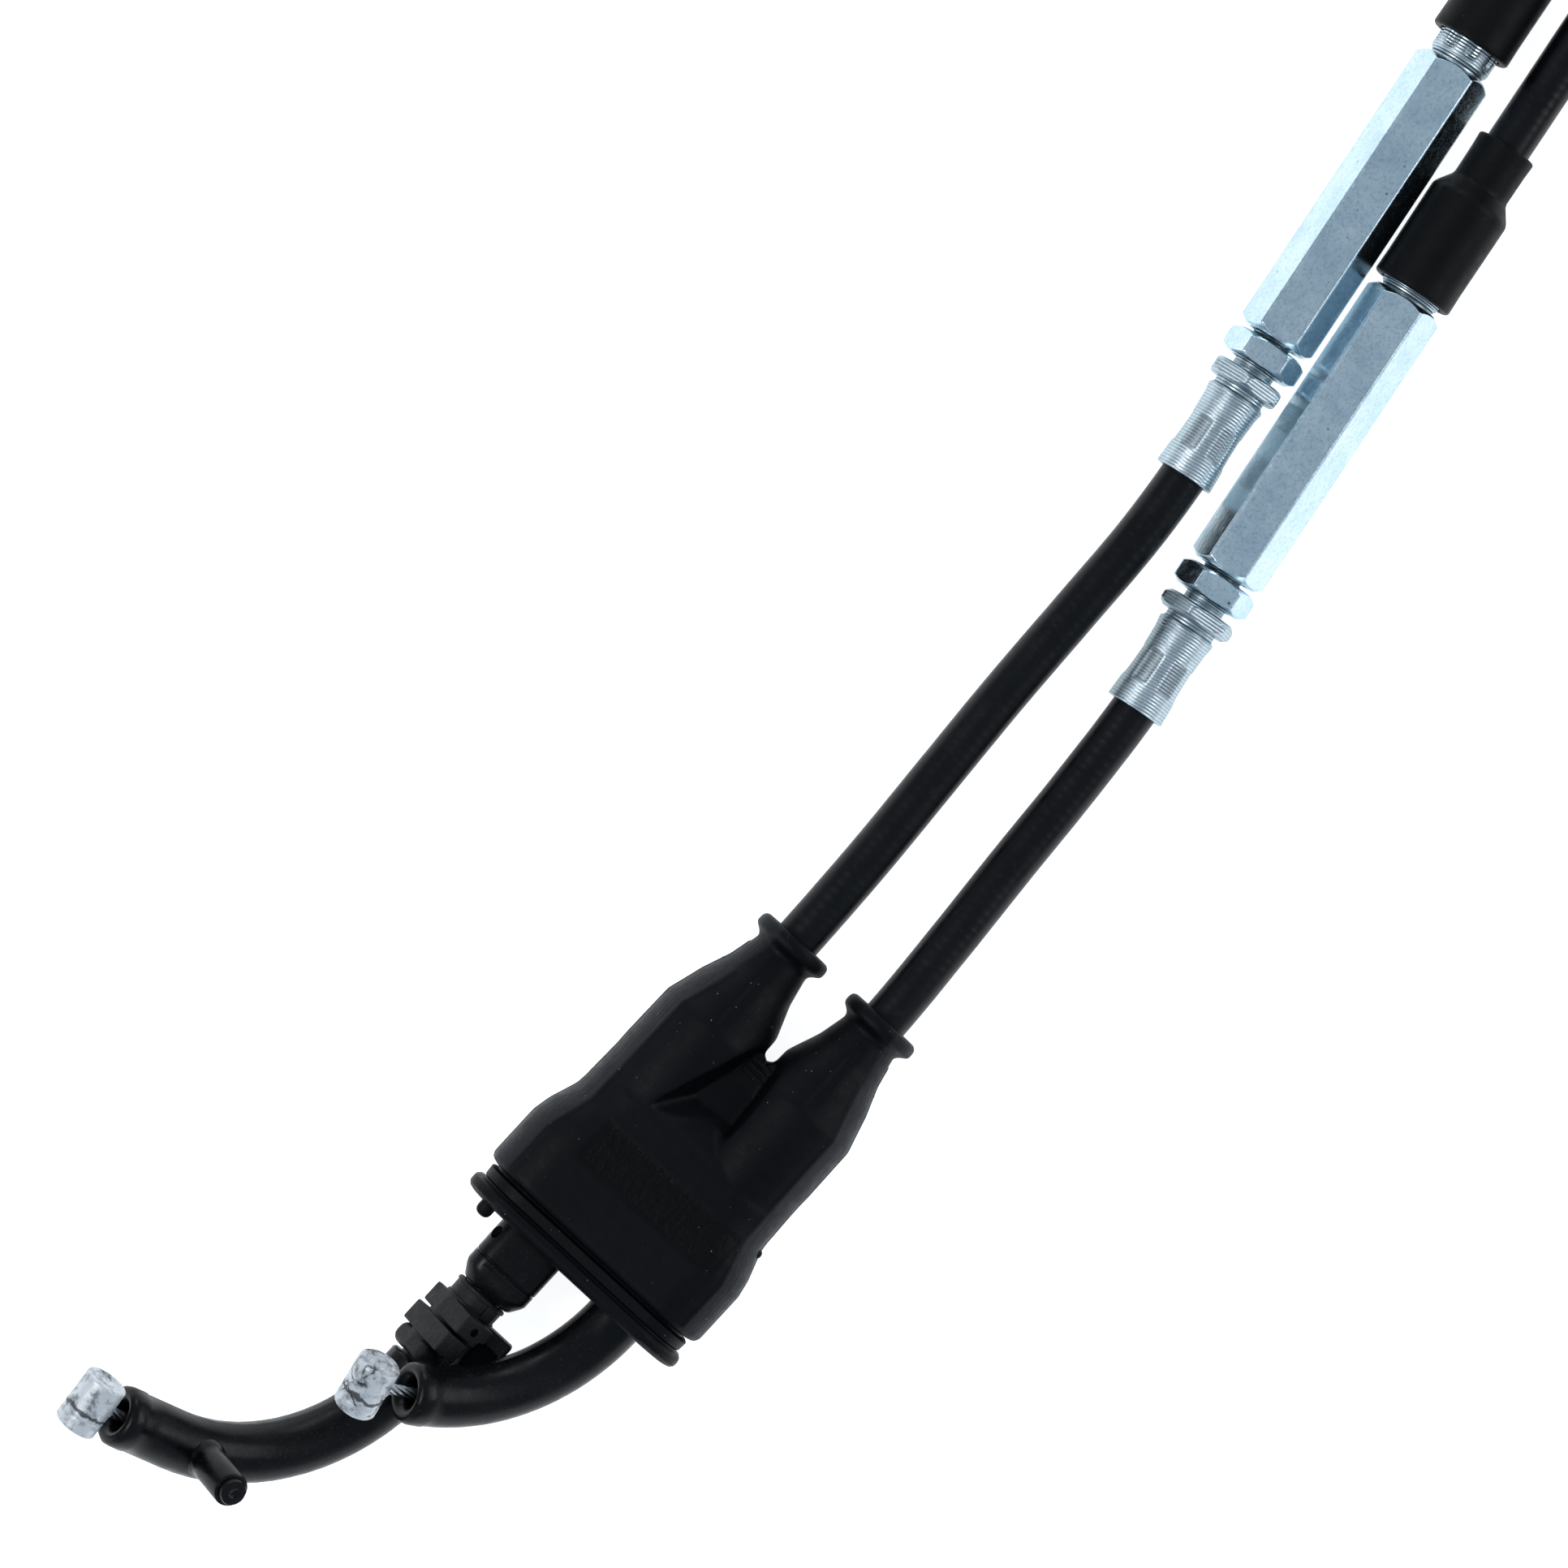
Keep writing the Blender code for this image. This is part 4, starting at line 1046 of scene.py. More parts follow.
def turned_rings(count: int, pitch: float, radius: float, bead: float, finish: Material) -> Mesh:
    """Fine raised rings side by side along local X, as a lathe tool leaves them.

    Args:
        count: the number of rings.
        pitch: the distance between two rings in millimetres.
        radius: each ring's radius to the middle of its bead.
        bead: the bead's own radius.
        finish: the rings' material.
    Returns:
        The rings as one mesh.
    """
    tool = NodeTool(
        "turned_rings",
        {"Count": count, "Pitch": pitch * MM, "Radius": radius * MM, "Bead": bead * MM},
    )
    hoop = tool.add(
        "GeometryNodeCurvePrimitiveCircle", {"Resolution": 64, "Radius": tool.given("Radius")}
    )
    section = tool.add(
        "GeometryNodeCurvePrimitiveCircle", {"Resolution": 6, "Radius": tool.given("Bead")}
    )
    ring = tool.add(
        "GeometryNodeCurveToMesh", {"Curve": hoop.outputs[0], "Profile Curve": section.outputs[0]}
    )
    upright = tool.add(
        "GeometryNodeTransform", {0: ring.outputs[0], "Rotation": (0.0, math.pi / 2, 0.0)}
    )
    step = tool.add("ShaderNodeCombineXYZ", {"X": tool.given("Pitch")})
    return tool.run(tool.row(step.outputs[0], upright.outputs[0]), finish)


def laid_wire(
    path: Array, radius: float, strands: int, lay: float, finish: Material,
    resolution: int = 4,
) -> Mesh:
    """A stranded wire: a lobed section that turns as it follows a path.

    Args:
        path: (n, 3) places in metres.
        radius: the wire's outer radius in millimetres.
        strands: the number of outer strands.
        lay: the length in which a strand goes once round, in millimetres.
        finish: the wire's material.
        resolution: points of the section for each strand.
    Returns:
        The wire as a closed mesh.
    """
    data = bpy.data.curves.new("wire_path", "CURVE")
    data.dimensions = "3D"
    spline = data.splines.new("POLY")
    spline.points.add(len(path) - 1)
    for point, at in zip(spline.points, path):
        point.co = (*at, 1.0)
    guide = bpy.data.objects.new("wire_path", data)
    bpy.context.scene.collection.objects.link(guide)
    tool = NodeTool(
        "laid_wire",
        {"Radius": radius * MM, "Strands": strands, "Lay": lay * MM, "Points": strands * resolution},
    )
    source = tool.add("GeometryNodeObjectInfo", {"Object": guide}, transform_space="ORIGINAL")
    along = tool.add("GeometryNodeSplineParameter")
    turns = tool.math("DIVIDE", along.outputs["Length"], tool.given("Lay"))
    tilt = tool.math("MULTIPLY", turns, 2 * math.pi)
    twisted = tool.add("GeometryNodeSetCurveTilt", {0: source.outputs["Geometry"], "Tilt": tilt})
    circle = tool.add(
        "GeometryNodeCurvePrimitiveCircle",
        {"Resolution": tool.given("Points"), "Radius": tool.given("Radius")},
    )
    place = tool.add("GeometryNodeInputPosition")
    parts = tool.add("ShaderNodeSeparateXYZ", {0: place.outputs[0]})
    angle = tool.math("ARCTAN2", parts.outputs["Y"], parts.outputs["X"])
    half = tool.math("MULTIPLY", tool.math("MULTIPLY", angle, tool.given("Strands")), 0.5)
    lobe = tool.math("ABSOLUTE", tool.math("SINE", half))
    grow = tool.math("ADD", 0.78, tool.math("MULTIPLY", lobe, 0.22))
    lobed = tool.add(
        "ShaderNodeVectorMath", {0: place.outputs[0], "Scale": grow}, operation="SCALE"
    )
    section = tool.add(
        "GeometryNodeSetPosition", {0: circle.outputs[0], "Position": lobed.outputs[0]}
    )
    swept = tool.add(
        "GeometryNodeCurveToMesh",
        {"Curve": twisted.outputs[0], "Profile Curve": section.outputs[0], "Fill Caps": True},
    )
    mesh = tool.run(swept.outputs[0], finish)
    bpy.data.objects.remove(guide)
    return mesh


def ratchet_row(count: int, pitch: float, length: float, height: float, finish: Material) -> Mesh:
    """Small teeth in a row along local Z, as on a nylon tie or in a rubber web's crease.

    Args:
        count: the number of teeth.
        pitch: the distance between two teeth in millimetres.
        length: each tooth's length along Y.
        height: how far each stands out along X.
        finish: the teeth's material.
    Returns:
        The teeth as one mesh.
    """
    tool = NodeTool(
        "ratchet_row",
        {"Count": count, "Pitch": pitch * MM, "Length": length * MM, "Height": height * MM},
    )
    thick = tool.math("MULTIPLY", tool.given("Pitch"), 0.45)
    size = tool.add(
        "ShaderNodeCombineXYZ", {"X": tool.given("Height"), "Y": tool.given("Length"), "Z": thick}
    )
    tooth = tool.add("GeometryNodeMeshCube", {"Size": size.outputs[0]})
    step = tool.add("ShaderNodeCombineXYZ", {"Z": tool.given("Pitch")})
    return tool.run(tool.row(step.outputs[0], tooth.outputs[0]), finish)


# ------------------------------------------------------------------ shared sizes
CONDUIT_R = 3.2
CUP_R = 3.5
WIRE_R = 0.8
WIRE_BORE_R = 1.2
NUT_BORE_R = 3.3
NUT_MOUTH_R = 3.75
BOOT_Z = 9.3
BEND_RADIUS = 27.0
BEND_TILT = math.radians(36.0)
ELBOW_REAR_X = 6.0
ADJUSTER_Z = 5.8
ADJUSTER_ANGLE = math.radians(9.1)
ADJUSTER_HEADING = (math.cos(ADJUSTER_ANGLE), math.sin(ADJUSTER_ANGLE), 0.0)
BARREL_CUP = 11.0
UPPER_CUP_FLOOR = 60.9
CONDUIT_SEAT = 67.5


def tilted(side: float, normal: float) -> tuple[float, float]:
    """The Y and Z of a place beside an elbow's axis, in the plane that its bend lies in."""
    c, s = math.cos(BEND_TILT), math.sin(BEND_TILT)
    return side * c - normal * s, side * s + normal * c


def adjuster_point(foot: Sequence[float], along: float) -> Array:
    """A place on an adjuster's axis, in millimetres."""
    return np.array([foot[0], foot[1], ADJUSTER_Z]) + np.array(ADJUSTER_HEADING) * along


@dataclass
class Piece:
    """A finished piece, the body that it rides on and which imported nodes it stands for."""

    obj: Object
    body: str
    slot: str
    nodes: tuple[str, ...] = ()

    def settle(self) -> Object:
        """Rides on the body and replaces its nodes.

        Returns:
            The object.
        """
        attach(self.obj, self.body)
        self.register()
        return self.obj

    def settle_blend(self) -> Object:
        """Keeps its place in the frame, on no body, and replaces its nodes.

        Returns:
            The object.
        """
        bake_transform(self.obj)
        self.register()
        return self.obj

    def register(self) -> None:
        """Hides the nodes that it replaces, and reports the piece."""
        if self.nodes:
            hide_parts(*self.nodes)
        LOG.info("%s on %s, %d faces", self.obj.name, self.body, len(self.obj.data.polygons))


# ------------------------------------------------------------------ the boot
@dataclass
class Boot:
    """The twin rubber boot: a rolled lip, a body that narrows, and two legs with beaded ends."""

    place: Place
    finishes: Finishes
    leg_y: float = 7.9
    voxel: float = 0.34
    body: tuple = (
        (3.4, 17.0, 8.0, 6.6), (3.65, 18.05, 8.65, 7.0), (4.4, 18.4, 8.9, 7.1), (12.0, 18.4, 8.9, 7.1),
        (14.5, 17.9, 8.8, 7.2), (18.5, 16.5, 8.45, 7.6), (20.0, 16.35, 8.35, 7.8),
        (22.3, 16.3, 8.25, 7.9), (23.6, 16.25, 7.5, 7.2), (26.0, 16.2, 5.4, 5.2), (28.4, 16.1, 3.2, 3.1),
        (29.4, 15.6, 2.5, 2.4),
    )
    lip: tuple = (
        (-1.15, 16.6, 7.5, 5.9), (-1.15, 17.3, 8.2, 6.3), (-0.95, 17.95, 8.85, 6.8),
        (-0.5, 18.35, 9.25, 7.0), (0.1, 18.4, 9.3, 7.0), (0.6, 18.3, 9.2, 7.0), (0.95, 17.9, 8.8, 6.8),
        (1.05, 17.25, 8.1, 6.3), (1.3, 17.15, 8.0, 6.3), (1.5, 17.4, 8.25, 6.5), (2.8, 17.5, 8.3, 6.5),
        (3.0, 17.2, 8.0, 6.4), (3.1, 16.6, 7.4, 6.0), (6.6, 16.4, 7.2, 5.8), (6.6, 15.35, 6.25, 5.35),
        (-0.6, 15.35, 6.25, 5.35), (-1.0, 15.6, 6.5, 5.5), (-1.15, 16.0, 6.9, 5.7),
    )
    leg: tuple = (
        (18.6, 0.0), (18.6, 7.6), (21.0, 8.15), (28.0, 8.35), (36.0, 8.25), (38.5, 7.5), (41.0, 6.8),
        (45.2, 5.2), (49.5, 4.25), (50.15, 5.1), (50.5, 5.75), (51.3, 5.8), (52.1, 5.65), (52.4, 5.1),
        (52.4, 0.0),
    )
    cavity: tuple = (
        (2.0, 15.4, 6.3, 5.4), (4.5, 15.4, 6.3, 5.4), (5.5, 16.4, 6.9, 6.0), (12.0, 16.4, 6.9, 6.0),
        (18.5, 14.4, 6.2, 6.0), (21.0, 14.0, 5.8, 5.7),
    )
    patch: tuple = (11.7, 18.0, -13.5, 10.0)
    web: tuple = ((24.0, -4.2, -2.2), (37.8, 4.2, 2.4))
    valley: tuple = (
        (28.4, -2.6, 3.3), (27.8, 4.3, 3.3), (33.0, -2.3, 2.3), (33.0, 2.7, 2.3), (38.6, -1.6, 2.0),
        (38.6, 1.6, 2.0), (24.4, -3.0, 8.9), (22.2, 8.2, 8.9), (30.0, -3.5, 9.8), (30.0, 5.4, 9.8),
        (38.6, -2.6, 9.8), (38.6, 2.6, 9.8),
    )
    notch: tuple = ((37.9, -0.95, -9.0), (44.0, 0.95, 9.0))
    nub: tuple = (18.0, -16.45, 1.6)
    tab: tuple = ((-2.9, 13.1, 5.4), (0.2, 15.4, 7.4))
    flank: tuple = (
        (0.0, 15.6), (12.0, 15.6), (18.5, 13.8), (27.0, 13.7), (36.0, 13.6), (41.0, 12.0), (49.0, 10.0),
    )

    def hollow(self) -> Mesh:
        """What is cut away between the legs, down to the web.

        Returns:
            The mesh.
        """
        bm = bmesh.new()
        for point in self.valley:
            bm.verts.new([c * MM for c in point])
        bmesh.ops.convex_hull(bm, input=bm.verts)
        mesh = bpy.data.meshes.new("valley")
        bm.to_mesh(mesh)
        bm.free()
        return mesh

    def sunk(self, points: Array, soft: float) -> Array:
        """1 in the sunk patch on top of the body and 0 outside it, with soft edges in millimetres.

        Args:
            points: places on the skin.
            soft: the width over which it fades.
        Returns:
            A number for each place.
        """
        x, y, z = (points[:, k] / MM for k in range(3))
        x0, x1, y0, y1 = self.patch

        def step(distance: Array, width: float) -> Array:
            """0 outside, 1 inside, smooth between."""
            t = np.clip(distance / width + 0.5, 0, 1)
            return t * t * (3 - 2 * t)

        ends = step(y - y0, 4 * soft) * step(y1 - y, 4 * soft)
        return step(x - x0, 4 * soft) * step(x1 - x, soft) * ends * (z > 4)

    def marked(self, mesh: Mesh) -> Mesh:
        """Says on each point of the shell how far it is patch and how far it is flank, which the finish
        lightens with a painted sheen.

        Args:
            mesh: the shell.
        Returns:
            The same mesh.
        """
        co = np.array([v.co[:] for v in mesh.vertices])
        x, y, z = (co[:, k] / MM for k in range(3))
        flank = np.clip((np.abs(y) - np.interp(x, *zip(*self.flank))) / 0.5, 0, 1) * (np.abs(z) > 1)
        mark(mesh, "patch", self.sunk(co, 0.4))
        mark(mesh, "flank", flank)
        return mesh

    def relief(self, points: Array) -> Array:
        """The sunk patch, the leg creases, the flank's edge and the parting line, as moves of the skin.

        Args:
            points: places on the skin.
        Returns:
            A move for each place.
        """
        x, y, z = (points[:, k] / MM for k in range(3))
        inside = self.sunk(points, 0.22)
        crease = np.zeros_like(x)
        for side in (1, -1):
            along = np.clip((x - 36.5) / 2, 0, 1) * np.clip((48.5 - x) / 2, 0, 1)
            crease += np.exp(-(((y - side * self.leg_y) / 0.55) ** 2)) * along * (z > 0)
        seam = np.exp(-((z / 0.28) ** 2)) * (np.abs(y) > 8.5) * (x < 48)
        edge = np.abs(y) - np.interp(x, *zip(*self.flank))
        ridge = np.exp(-((edge / 0.35) ** 2)) * (z > 2) * (x > 4.5) * (x < 44)
        move = np.zeros_like(points)
        move[:, 2] = (0.16 * ridge - 0.26 * inside - 0.22 * crease) * MM
        move[:, 1] = 0.2 * seam * np.sign(y) * MM
        return move

    def shell(self) -> Mesh:
        """The body and legs as one softened skin, hollowed for the elbows and conduits.

        Returns:
            The mesh.
        """
        legs = []
        bores = []
        for side in (1, -1):
            turn = shift(0, side * self.leg_y, 0)
            legs.append(moved(lathe("leg", self.leg, 64, False), turn))
            bore = (
                (19.5, 0.0), (19.5, 4.75), (21.0, 4.75), (23.0, 3.6), (51.9, 3.6), (52.1, 3.8),
                (53.4, 4.6), (53.4, 0.0),
            )
            bores.append(moved(lathe("bore", bore, 48, False), turn))
        solid = carved(loft(self.body, 10), [*legs, block(*self.web, 0.3)], "UNION")
        solid = carved(solid, [self.hollow(), block(*self.notch, 0.3)])
        skinned = pushed(softened(solid, self.voxel, 5), self.relief)
        return carved(skinned, [loft(self.cavity, 10), *bores])

    def rolled_lip(self) -> Mesh:
        """The lip's bead, groove and plain band as a hoop.

        Returns:
            The mesh.
        """
        rings = []
        for section in self.lip:
            one = loft(((section[0] - 1.0, *section[1:]), section), 12)
            co = np.array([v.co[:] for v in one.vertices])
            rings.append(co[len(co) // 2:])
            bpy.data.meshes.remove(one)
        return skin("lip", np.array(rings), ring_loop=True)

    def build(self) -> None:
        """Makes the shell, the lip, the nubs and the small ribs between the legs."""
        stand = self.place.stand((0, 0, BOOT_Z))
        shell = moved(self.marked(tidy_mesh(self.shell(), 50.0)), stand)
        Piece(mesh_object("boot_shell", shell, self.finishes.boot), ROOT, "boot_rubber", ("boot",)).settle()
        lip = moved(self.rolled_lip(), stand)
        Piece(mesh_object("boot_lip", lip, self.finishes.boot), ROOT, "boot_rubber").settle()
        dome = [(-0.9, 0.0), (-0.9, 0.75), (0.1, 0.72), (0.4, 0.55), (0.55, 0.25), (0.58, 0.02)]
        out = Vector((0.0, self.nub[1], 0.0)).to_track_quat("X", "Z").to_matrix().to_4x4()
        nubs = [moved(lathe("nub", dome, 24, False), stand @ shift(*self.nub) @ out)]
        nubs.append(moved(block(*self.tab, 0.95, 4), stand))
        Piece(joined("boot_nubs", nubs, self.finishes.boot), ROOT, "boot_rubber").settle()
        teeth = ratchet_row(3, 0.95, 3.4, 0.9, self.finishes.boot)
        lay = Matrix.Rotation(math.radians(90), 4, "Y")
        teeth.transform(stand @ shift(35.0, 0.0, 2.05) @ lay)
        Piece(mesh_object("boot_crotch_ribs", teeth, self.finishes.boot), ROOT, "boot_rubber").settle()


# ------------------------------------------------------------------ the elbows
@dataclass
class Elbow:
    """A bent guide tube with a bell mouth, moulded in two halves."""

    place: Place
    finishes: Finishes
    side: Side
    y: float
    bend_x: float
    bend: float
    tail: float
    radius: float = 4.1
    bore: float = 2.2

    def at(self, degrees: float) -> tuple[Array, Array]:
        """Centre and heading after a bend of some degrees, in millimetres from the lip.

        Args:
            degrees: how far it has bent.
        Returns:
            The centre and the heading.
        """
        a = math.radians(degrees)
        dy, dz = tilted(BEND_RADIUS * (1 - math.cos(a)), 0.0)
        hy, hz = tilted(math.sin(a), 0.0)
        centre = np.array([self.bend_x - BEND_RADIUS * math.sin(a), self.y + dy, BOOT_Z + dz])
        return centre, np.array([-math.cos(a), hy, hz])

    def mouth(self, out: float = 0.0) -> tuple[Array, Array]:
        """A place on the axis some way out of the mouth, and the heading there."""
        centre, heading = self.at(self.bend)
        return centre + heading * (self.tail + out), heading

    def line(self, out: float = 0.0) -> Array:
        """The centreline from the rear end to the mouth or past it, in millimetres.

        Args:
            out: how far past the mouth it goes on.
        Returns:
            Its points.
        """
        straight = [(x, self.y, BOOT_Z) for x in np.arange(ELBOW_REAR_X, self.bend_x + 0.4, -0.8)]
        arc = [self.at(a)[0] for a in np.arange(0, self.bend, 1.5)]
        centre, heading = self.at(self.bend)
        reach = self.tail + out
        steps = max(2, round(reach / 0.8))
        tail = [centre + heading * reach * k / steps for k in range(steps + 1)]
        return np.array([*straight, *arc, *tail])

    def seam(self, _x: Array, theta: Array, r: Array) -> Array:
        """Raises the mould's parting line on both sides of the tube."""
        off = np.abs((theta + BEND_TILT + math.pi / 2) % math.pi - math.pi / 2)
        return r + np.where(r > self.radius - 0.3, 0.09 * np.exp(-((off / 0.05) ** 2)), 0.0)

    def tube(self, shoulder: float) -> Mesh:
        """The tube's wall; it is thin up to the shoulder, a distance from its rear end.

        Args:
            shoulder: that distance.
        Returns:
            The mesh.
        """
        path = self.line()
        end = route_length(path)
        start = [(0.0, self.bore), (0.0, 2.75), (0.2, 2.9), (shoulder, 2.9), (shoulder + 0.02, 3.8)]
        if shoulder <= 0.5:
            start = [(0.0, self.bore), (0.0, self.radius - 0.3)]
        outer = [
            (shoulder + 0.3, self.radius), (end - 3.0, self.radius), (end - 2.7, self.radius + 0.14),
            (end - 1.1, self.radius + 0.12), (end - 0.5, self.radius - 0.02),
            (end - 0.15, self.radius - 0.32), (end, self.radius - 0.8), (end - 0.06, 2.95),
            (end - 0.25, 2.55), (end - 0.7, 2.2), (end - 1.2, 1.95), (end - 2.2, 1.95),
            (end - 2.6, self.bore),
        ]
        return sheath(self.side.value, self.place.metres(path), start + outer, 72, self.seam)

    def extras(self) -> list[Mesh]:
        """Nothing more on a plain elbow."""
        return []

    def build(self) -> None:
        """Makes the tube and what stands on it."""
        shoulder = 0.0 if self.side is Side.RETURN else ELBOW_REAR_X + 23.5
        name = f"{self.side.value}_elbow"
        obj = joined(f"{name}_look", [self.tube(shoulder), *self.extras()], self.finishes.elbow)
        Piece(obj, ROOT, "elbow_nylon", (name,)).settle()


@dataclass
class PeggedElbow(Elbow):
    """The pull elbow, with a locating peg on its bend."""

    peg_at: float = 69.5
    peg_r: float = 2.4
    peg_tip_r: float = 1.83
    peg_length: float = 12.3

    def extras(self) -> list[Mesh]:
        """The peg, with a fillet at its foot, a shoulder and a dimpled tip.

        Returns:
            Its mesh.
        """
        foot, _ = self.at(self.peg_at)
        r, tip, end = self.peg_r, self.peg_tip_r, self.peg_length
        profile = [
            (2.6, 0.0), (2.6, r + 0.4), (3.9, r + 0.35), (4.3, r + 0.12), (4.8, r + 0.02), (5.4, r),
            (end - 0.35, r), (end - 0.1, r - 0.08), (end, r - 0.3), (end, tip), (end + 0.65, tip - 0.02),
            (end + 0.85, tip - 0.12), (end + 0.9, tip - 0.35), (end + 0.9, 0.75), (end + 0.7, 0.5),
            (end + 0.68, 0.0),
        ]
        mesh = lathe("peg", profile, 56, False)
        return [moved(mesh, self.place.matrix(foot, (0.0, *tilted(0.0, 1.0))))]


@dataclass
class Holder:
    """The grainy clamp holder round the pull elbow: collar, two blocks, a lug and a neck."""

    place: Place
    finishes: Finishes
    y: float = 6.8
    bore: float = 3.2
    collar: tuple = ((-23.2, -4.3, -4.3), (-20.0, 3.9, 4.0))
    first: tuple = ((-20.1, 0.4, -4.1), (-16.9, 4.3, 6.3))
    second: tuple = ((-16.5, -1.0, -4.0), (-13.4, 3.9, 6.6))
    lug: tuple = ((-20.3, -1.1, 5.1), (-13.4, 6.8, 9.3))
    pocket: tuple = ((-19.7, -0.4, 6.1), (-15.4, 2.9, 15.0))

    def build(self) -> None:
        """Makes the moulding."""
        axis = shift(0, self.y, BOOT_Z)
        lean = axis @ Matrix.Rotation(BEND_TILT, 4, "X")
        neck = [
            (-22.2, 0.0), (-22.2, 3.95), (-13.0, 3.95), (-12.9, 3.75), (-11.3, 3.75), (-11.2, 3.95),
            (-10.85, 3.95), (-10.7, 3.8), (-10.7, 0.0),
        ]
        parts = [moved(block(*size, 0.3), lean) for size in (self.first, self.second)]
        parts += [moved(lathe("neck", neck, 48, False), axis), block(*self.lug, 0.4)]
        solid = carved(moved(block(*self.collar, 1.3, 5), lean), parts, "UNION")
        cylinder = [(-26.0, 0.0), (-26.0, self.bore), (-8.0, self.bore), (-8.0, 0.0)]
        dimple = moved(
            lathe("dimple", [(-1.0, 0.0), (-1.0, 0.55), (1.0, 0.7), (1.0, 0.0)], 20, False),
            lean @ shift(-14.9, 1.5, 6.7) @ Matrix.Rotation(math.pi / 2, 4, "Y"),
        )
        tools = [block(*self.pocket, 0.35), moved(lathe("bore", cylinder, 40, False), axis), dimple]
        mesh = moved(tidy_mesh(carved(solid, tools), 30.0), self.place.stand())
        plate = block((-13.3, -1.2, 3.55), (-11.1, 0.6, 4.15), 0.15)
        ridge = block((-22.3, -0.35, 3.6), (-20.3, 0.35, 4.25), 0.12)
        stand = self.place.stand()
        extras = [moved(plate, stand @ lean), moved(ridge, stand @ lean)]
        obj = joined("pull_holder_look", [mesh, *extras], self.finishes.holder)
        Piece(obj, ROOT, "holder_nylon", ("pull_holder",)).settle()


@dataclass
class Socket:
    """The smooth body between the holder and the boot, with a parting line and an oval hole."""

    place: Place
    finishes: Finishes
    y: float = 6.5
    half_w: float = 5.05
    half_h: float = 4.75
    corner: float = 2.6
    start: float = -10.4

    def build(self) -> None:
        """Makes the moulding."""
        w, h, c, x = self.half_w, self.half_h, self.corner, self.start
        sections = [
            (x, w - 1.5, h - 1.25, c - 0.6), (x + 0.25, w - 1.1, h - 0.9, c - 0.3),
            (x + 1.6, w - 0.25, h - 0.2, c), (x + 2.2, w, h, c), (-6.72, w, h, c),
            (-6.6, w - 0.16, h - 0.16, c), (-6.42, w - 0.16, h - 0.16, c), (-6.3, w, h, c),
            (5.6, w, h, c), (5.9, w - 0.1, h - 0.1, c), (6.0, w - 0.35, h - 0.35, c),
        ]
        cylinder = [(x - 2, 0.0), (x - 2, 3.2), (8.0, 3.2), (8.0, 0.0)]
        axis = shift(0, 0.3, 0)
        oval = lathe("oval", [(-4.0, 0.0), (-4.0, 0.55), (1.0, 0.55), (1.0, 0.0)], 28, False)
        aim = shift(-3.2, 4.5, 4.0) @ Matrix.Diagonal((1.75, 1, 1, 1))
        oval.transform(aim @ Matrix.Rotation(-math.pi / 2, 4, "Y"))
        mesh = carved(loft(sections, 10), [moved(lathe("bore", cylinder, 40, False), axis), oval])
        ticks = [
            block((-6.95, -0.5 + k, h - 0.3), (-6.45, -0.15 + k, h + 0.1), 0.08) for k in (0.0, 2.0)
        ]
        pad = block((-8.0, -3.0, h - 1.0), (-7.2, 3.0, h + 0.05), 0.2)
        obj = joined("pull_socket_look", [tidy_mesh(mesh, 30.0), *ticks, pad], self.finishes.elbow)
        obj.data.transform(self.place.stand((0, self.y, BOOT_Z)))
        Piece(obj, ROOT, "elbow_nylon", ("pull_socket",)).settle()


# ------------------------------------------------------------------ one cable
@dataclass(frozen=True)
class Crimps:
    """Flat-bottomed dents round a cup along local X: how the tool pressed them and how far the finish
    darkens them.

    Args:
        start: where the dents start along the piece, in millimetres.
        end: where they end.
        count: dents round the piece.
        width: each dent's width in degrees.
        depth: how deep they are in millimetres.
        turn: the first dent's angle in degrees.
    """

    start: float
    end: float
    count: int
    width: float
    depth: float
    turn: float = 0.0

    def share(self, x: Array, theta: Array, ramp: float, run: float) -> Array:
        """How far points are inside a dent, from 0 to 1.

        Args:
            x: their places along the piece in millimetres.
            theta: their angles.
            ramp: the angle over which a dent fades in.
            run: the length over which it fades in.
        Returns:
            The shares.
        """
        period = 2 * math.pi / self.count
        off = np.abs((theta - math.radians(self.turn) + period / 2) % period - period / 2)
        across = np.clip((math.radians(self.width / 2) - off) / ramp, 0, 1)
        return across * np.clip((x - self.start) / run, 0, 1) * np.clip((self.end - x) / run, 0, 1)

    def press(self, x: Array, theta: Array, r: Array) -> Array:
        """The radius with the dents taken off the outer wall, as a shaper."""
        dent = self.depth * self.share(x, theta, 0.12, 0.5)
        return np.where(r > CUP_R + 0.1, r - dent * np.clip((r - CUP_R) / 0.4, 0, 1), r)

    def mark_dents(self, mesh: Mesh) -> Mesh:
        """Says on each point of a cup how far it lies in a dent, where the finish colours it darker.

        Args:
            mesh: the cup, along local X.
        Returns:
            The same mesh.
        """
        co = np.array([v.co[:] for v in mesh.vertices]) / MM
        outside = np.hypot(co[:, 1], co[:, 2]) > CUP_R + 0.08
        inside = self.share(co[:, 0], np.arctan2(co[:, 2], co[:, 1]), 0.06, 0.3)
        mark(mesh, "pressed", 0.75 * inside * outside)
        return mesh


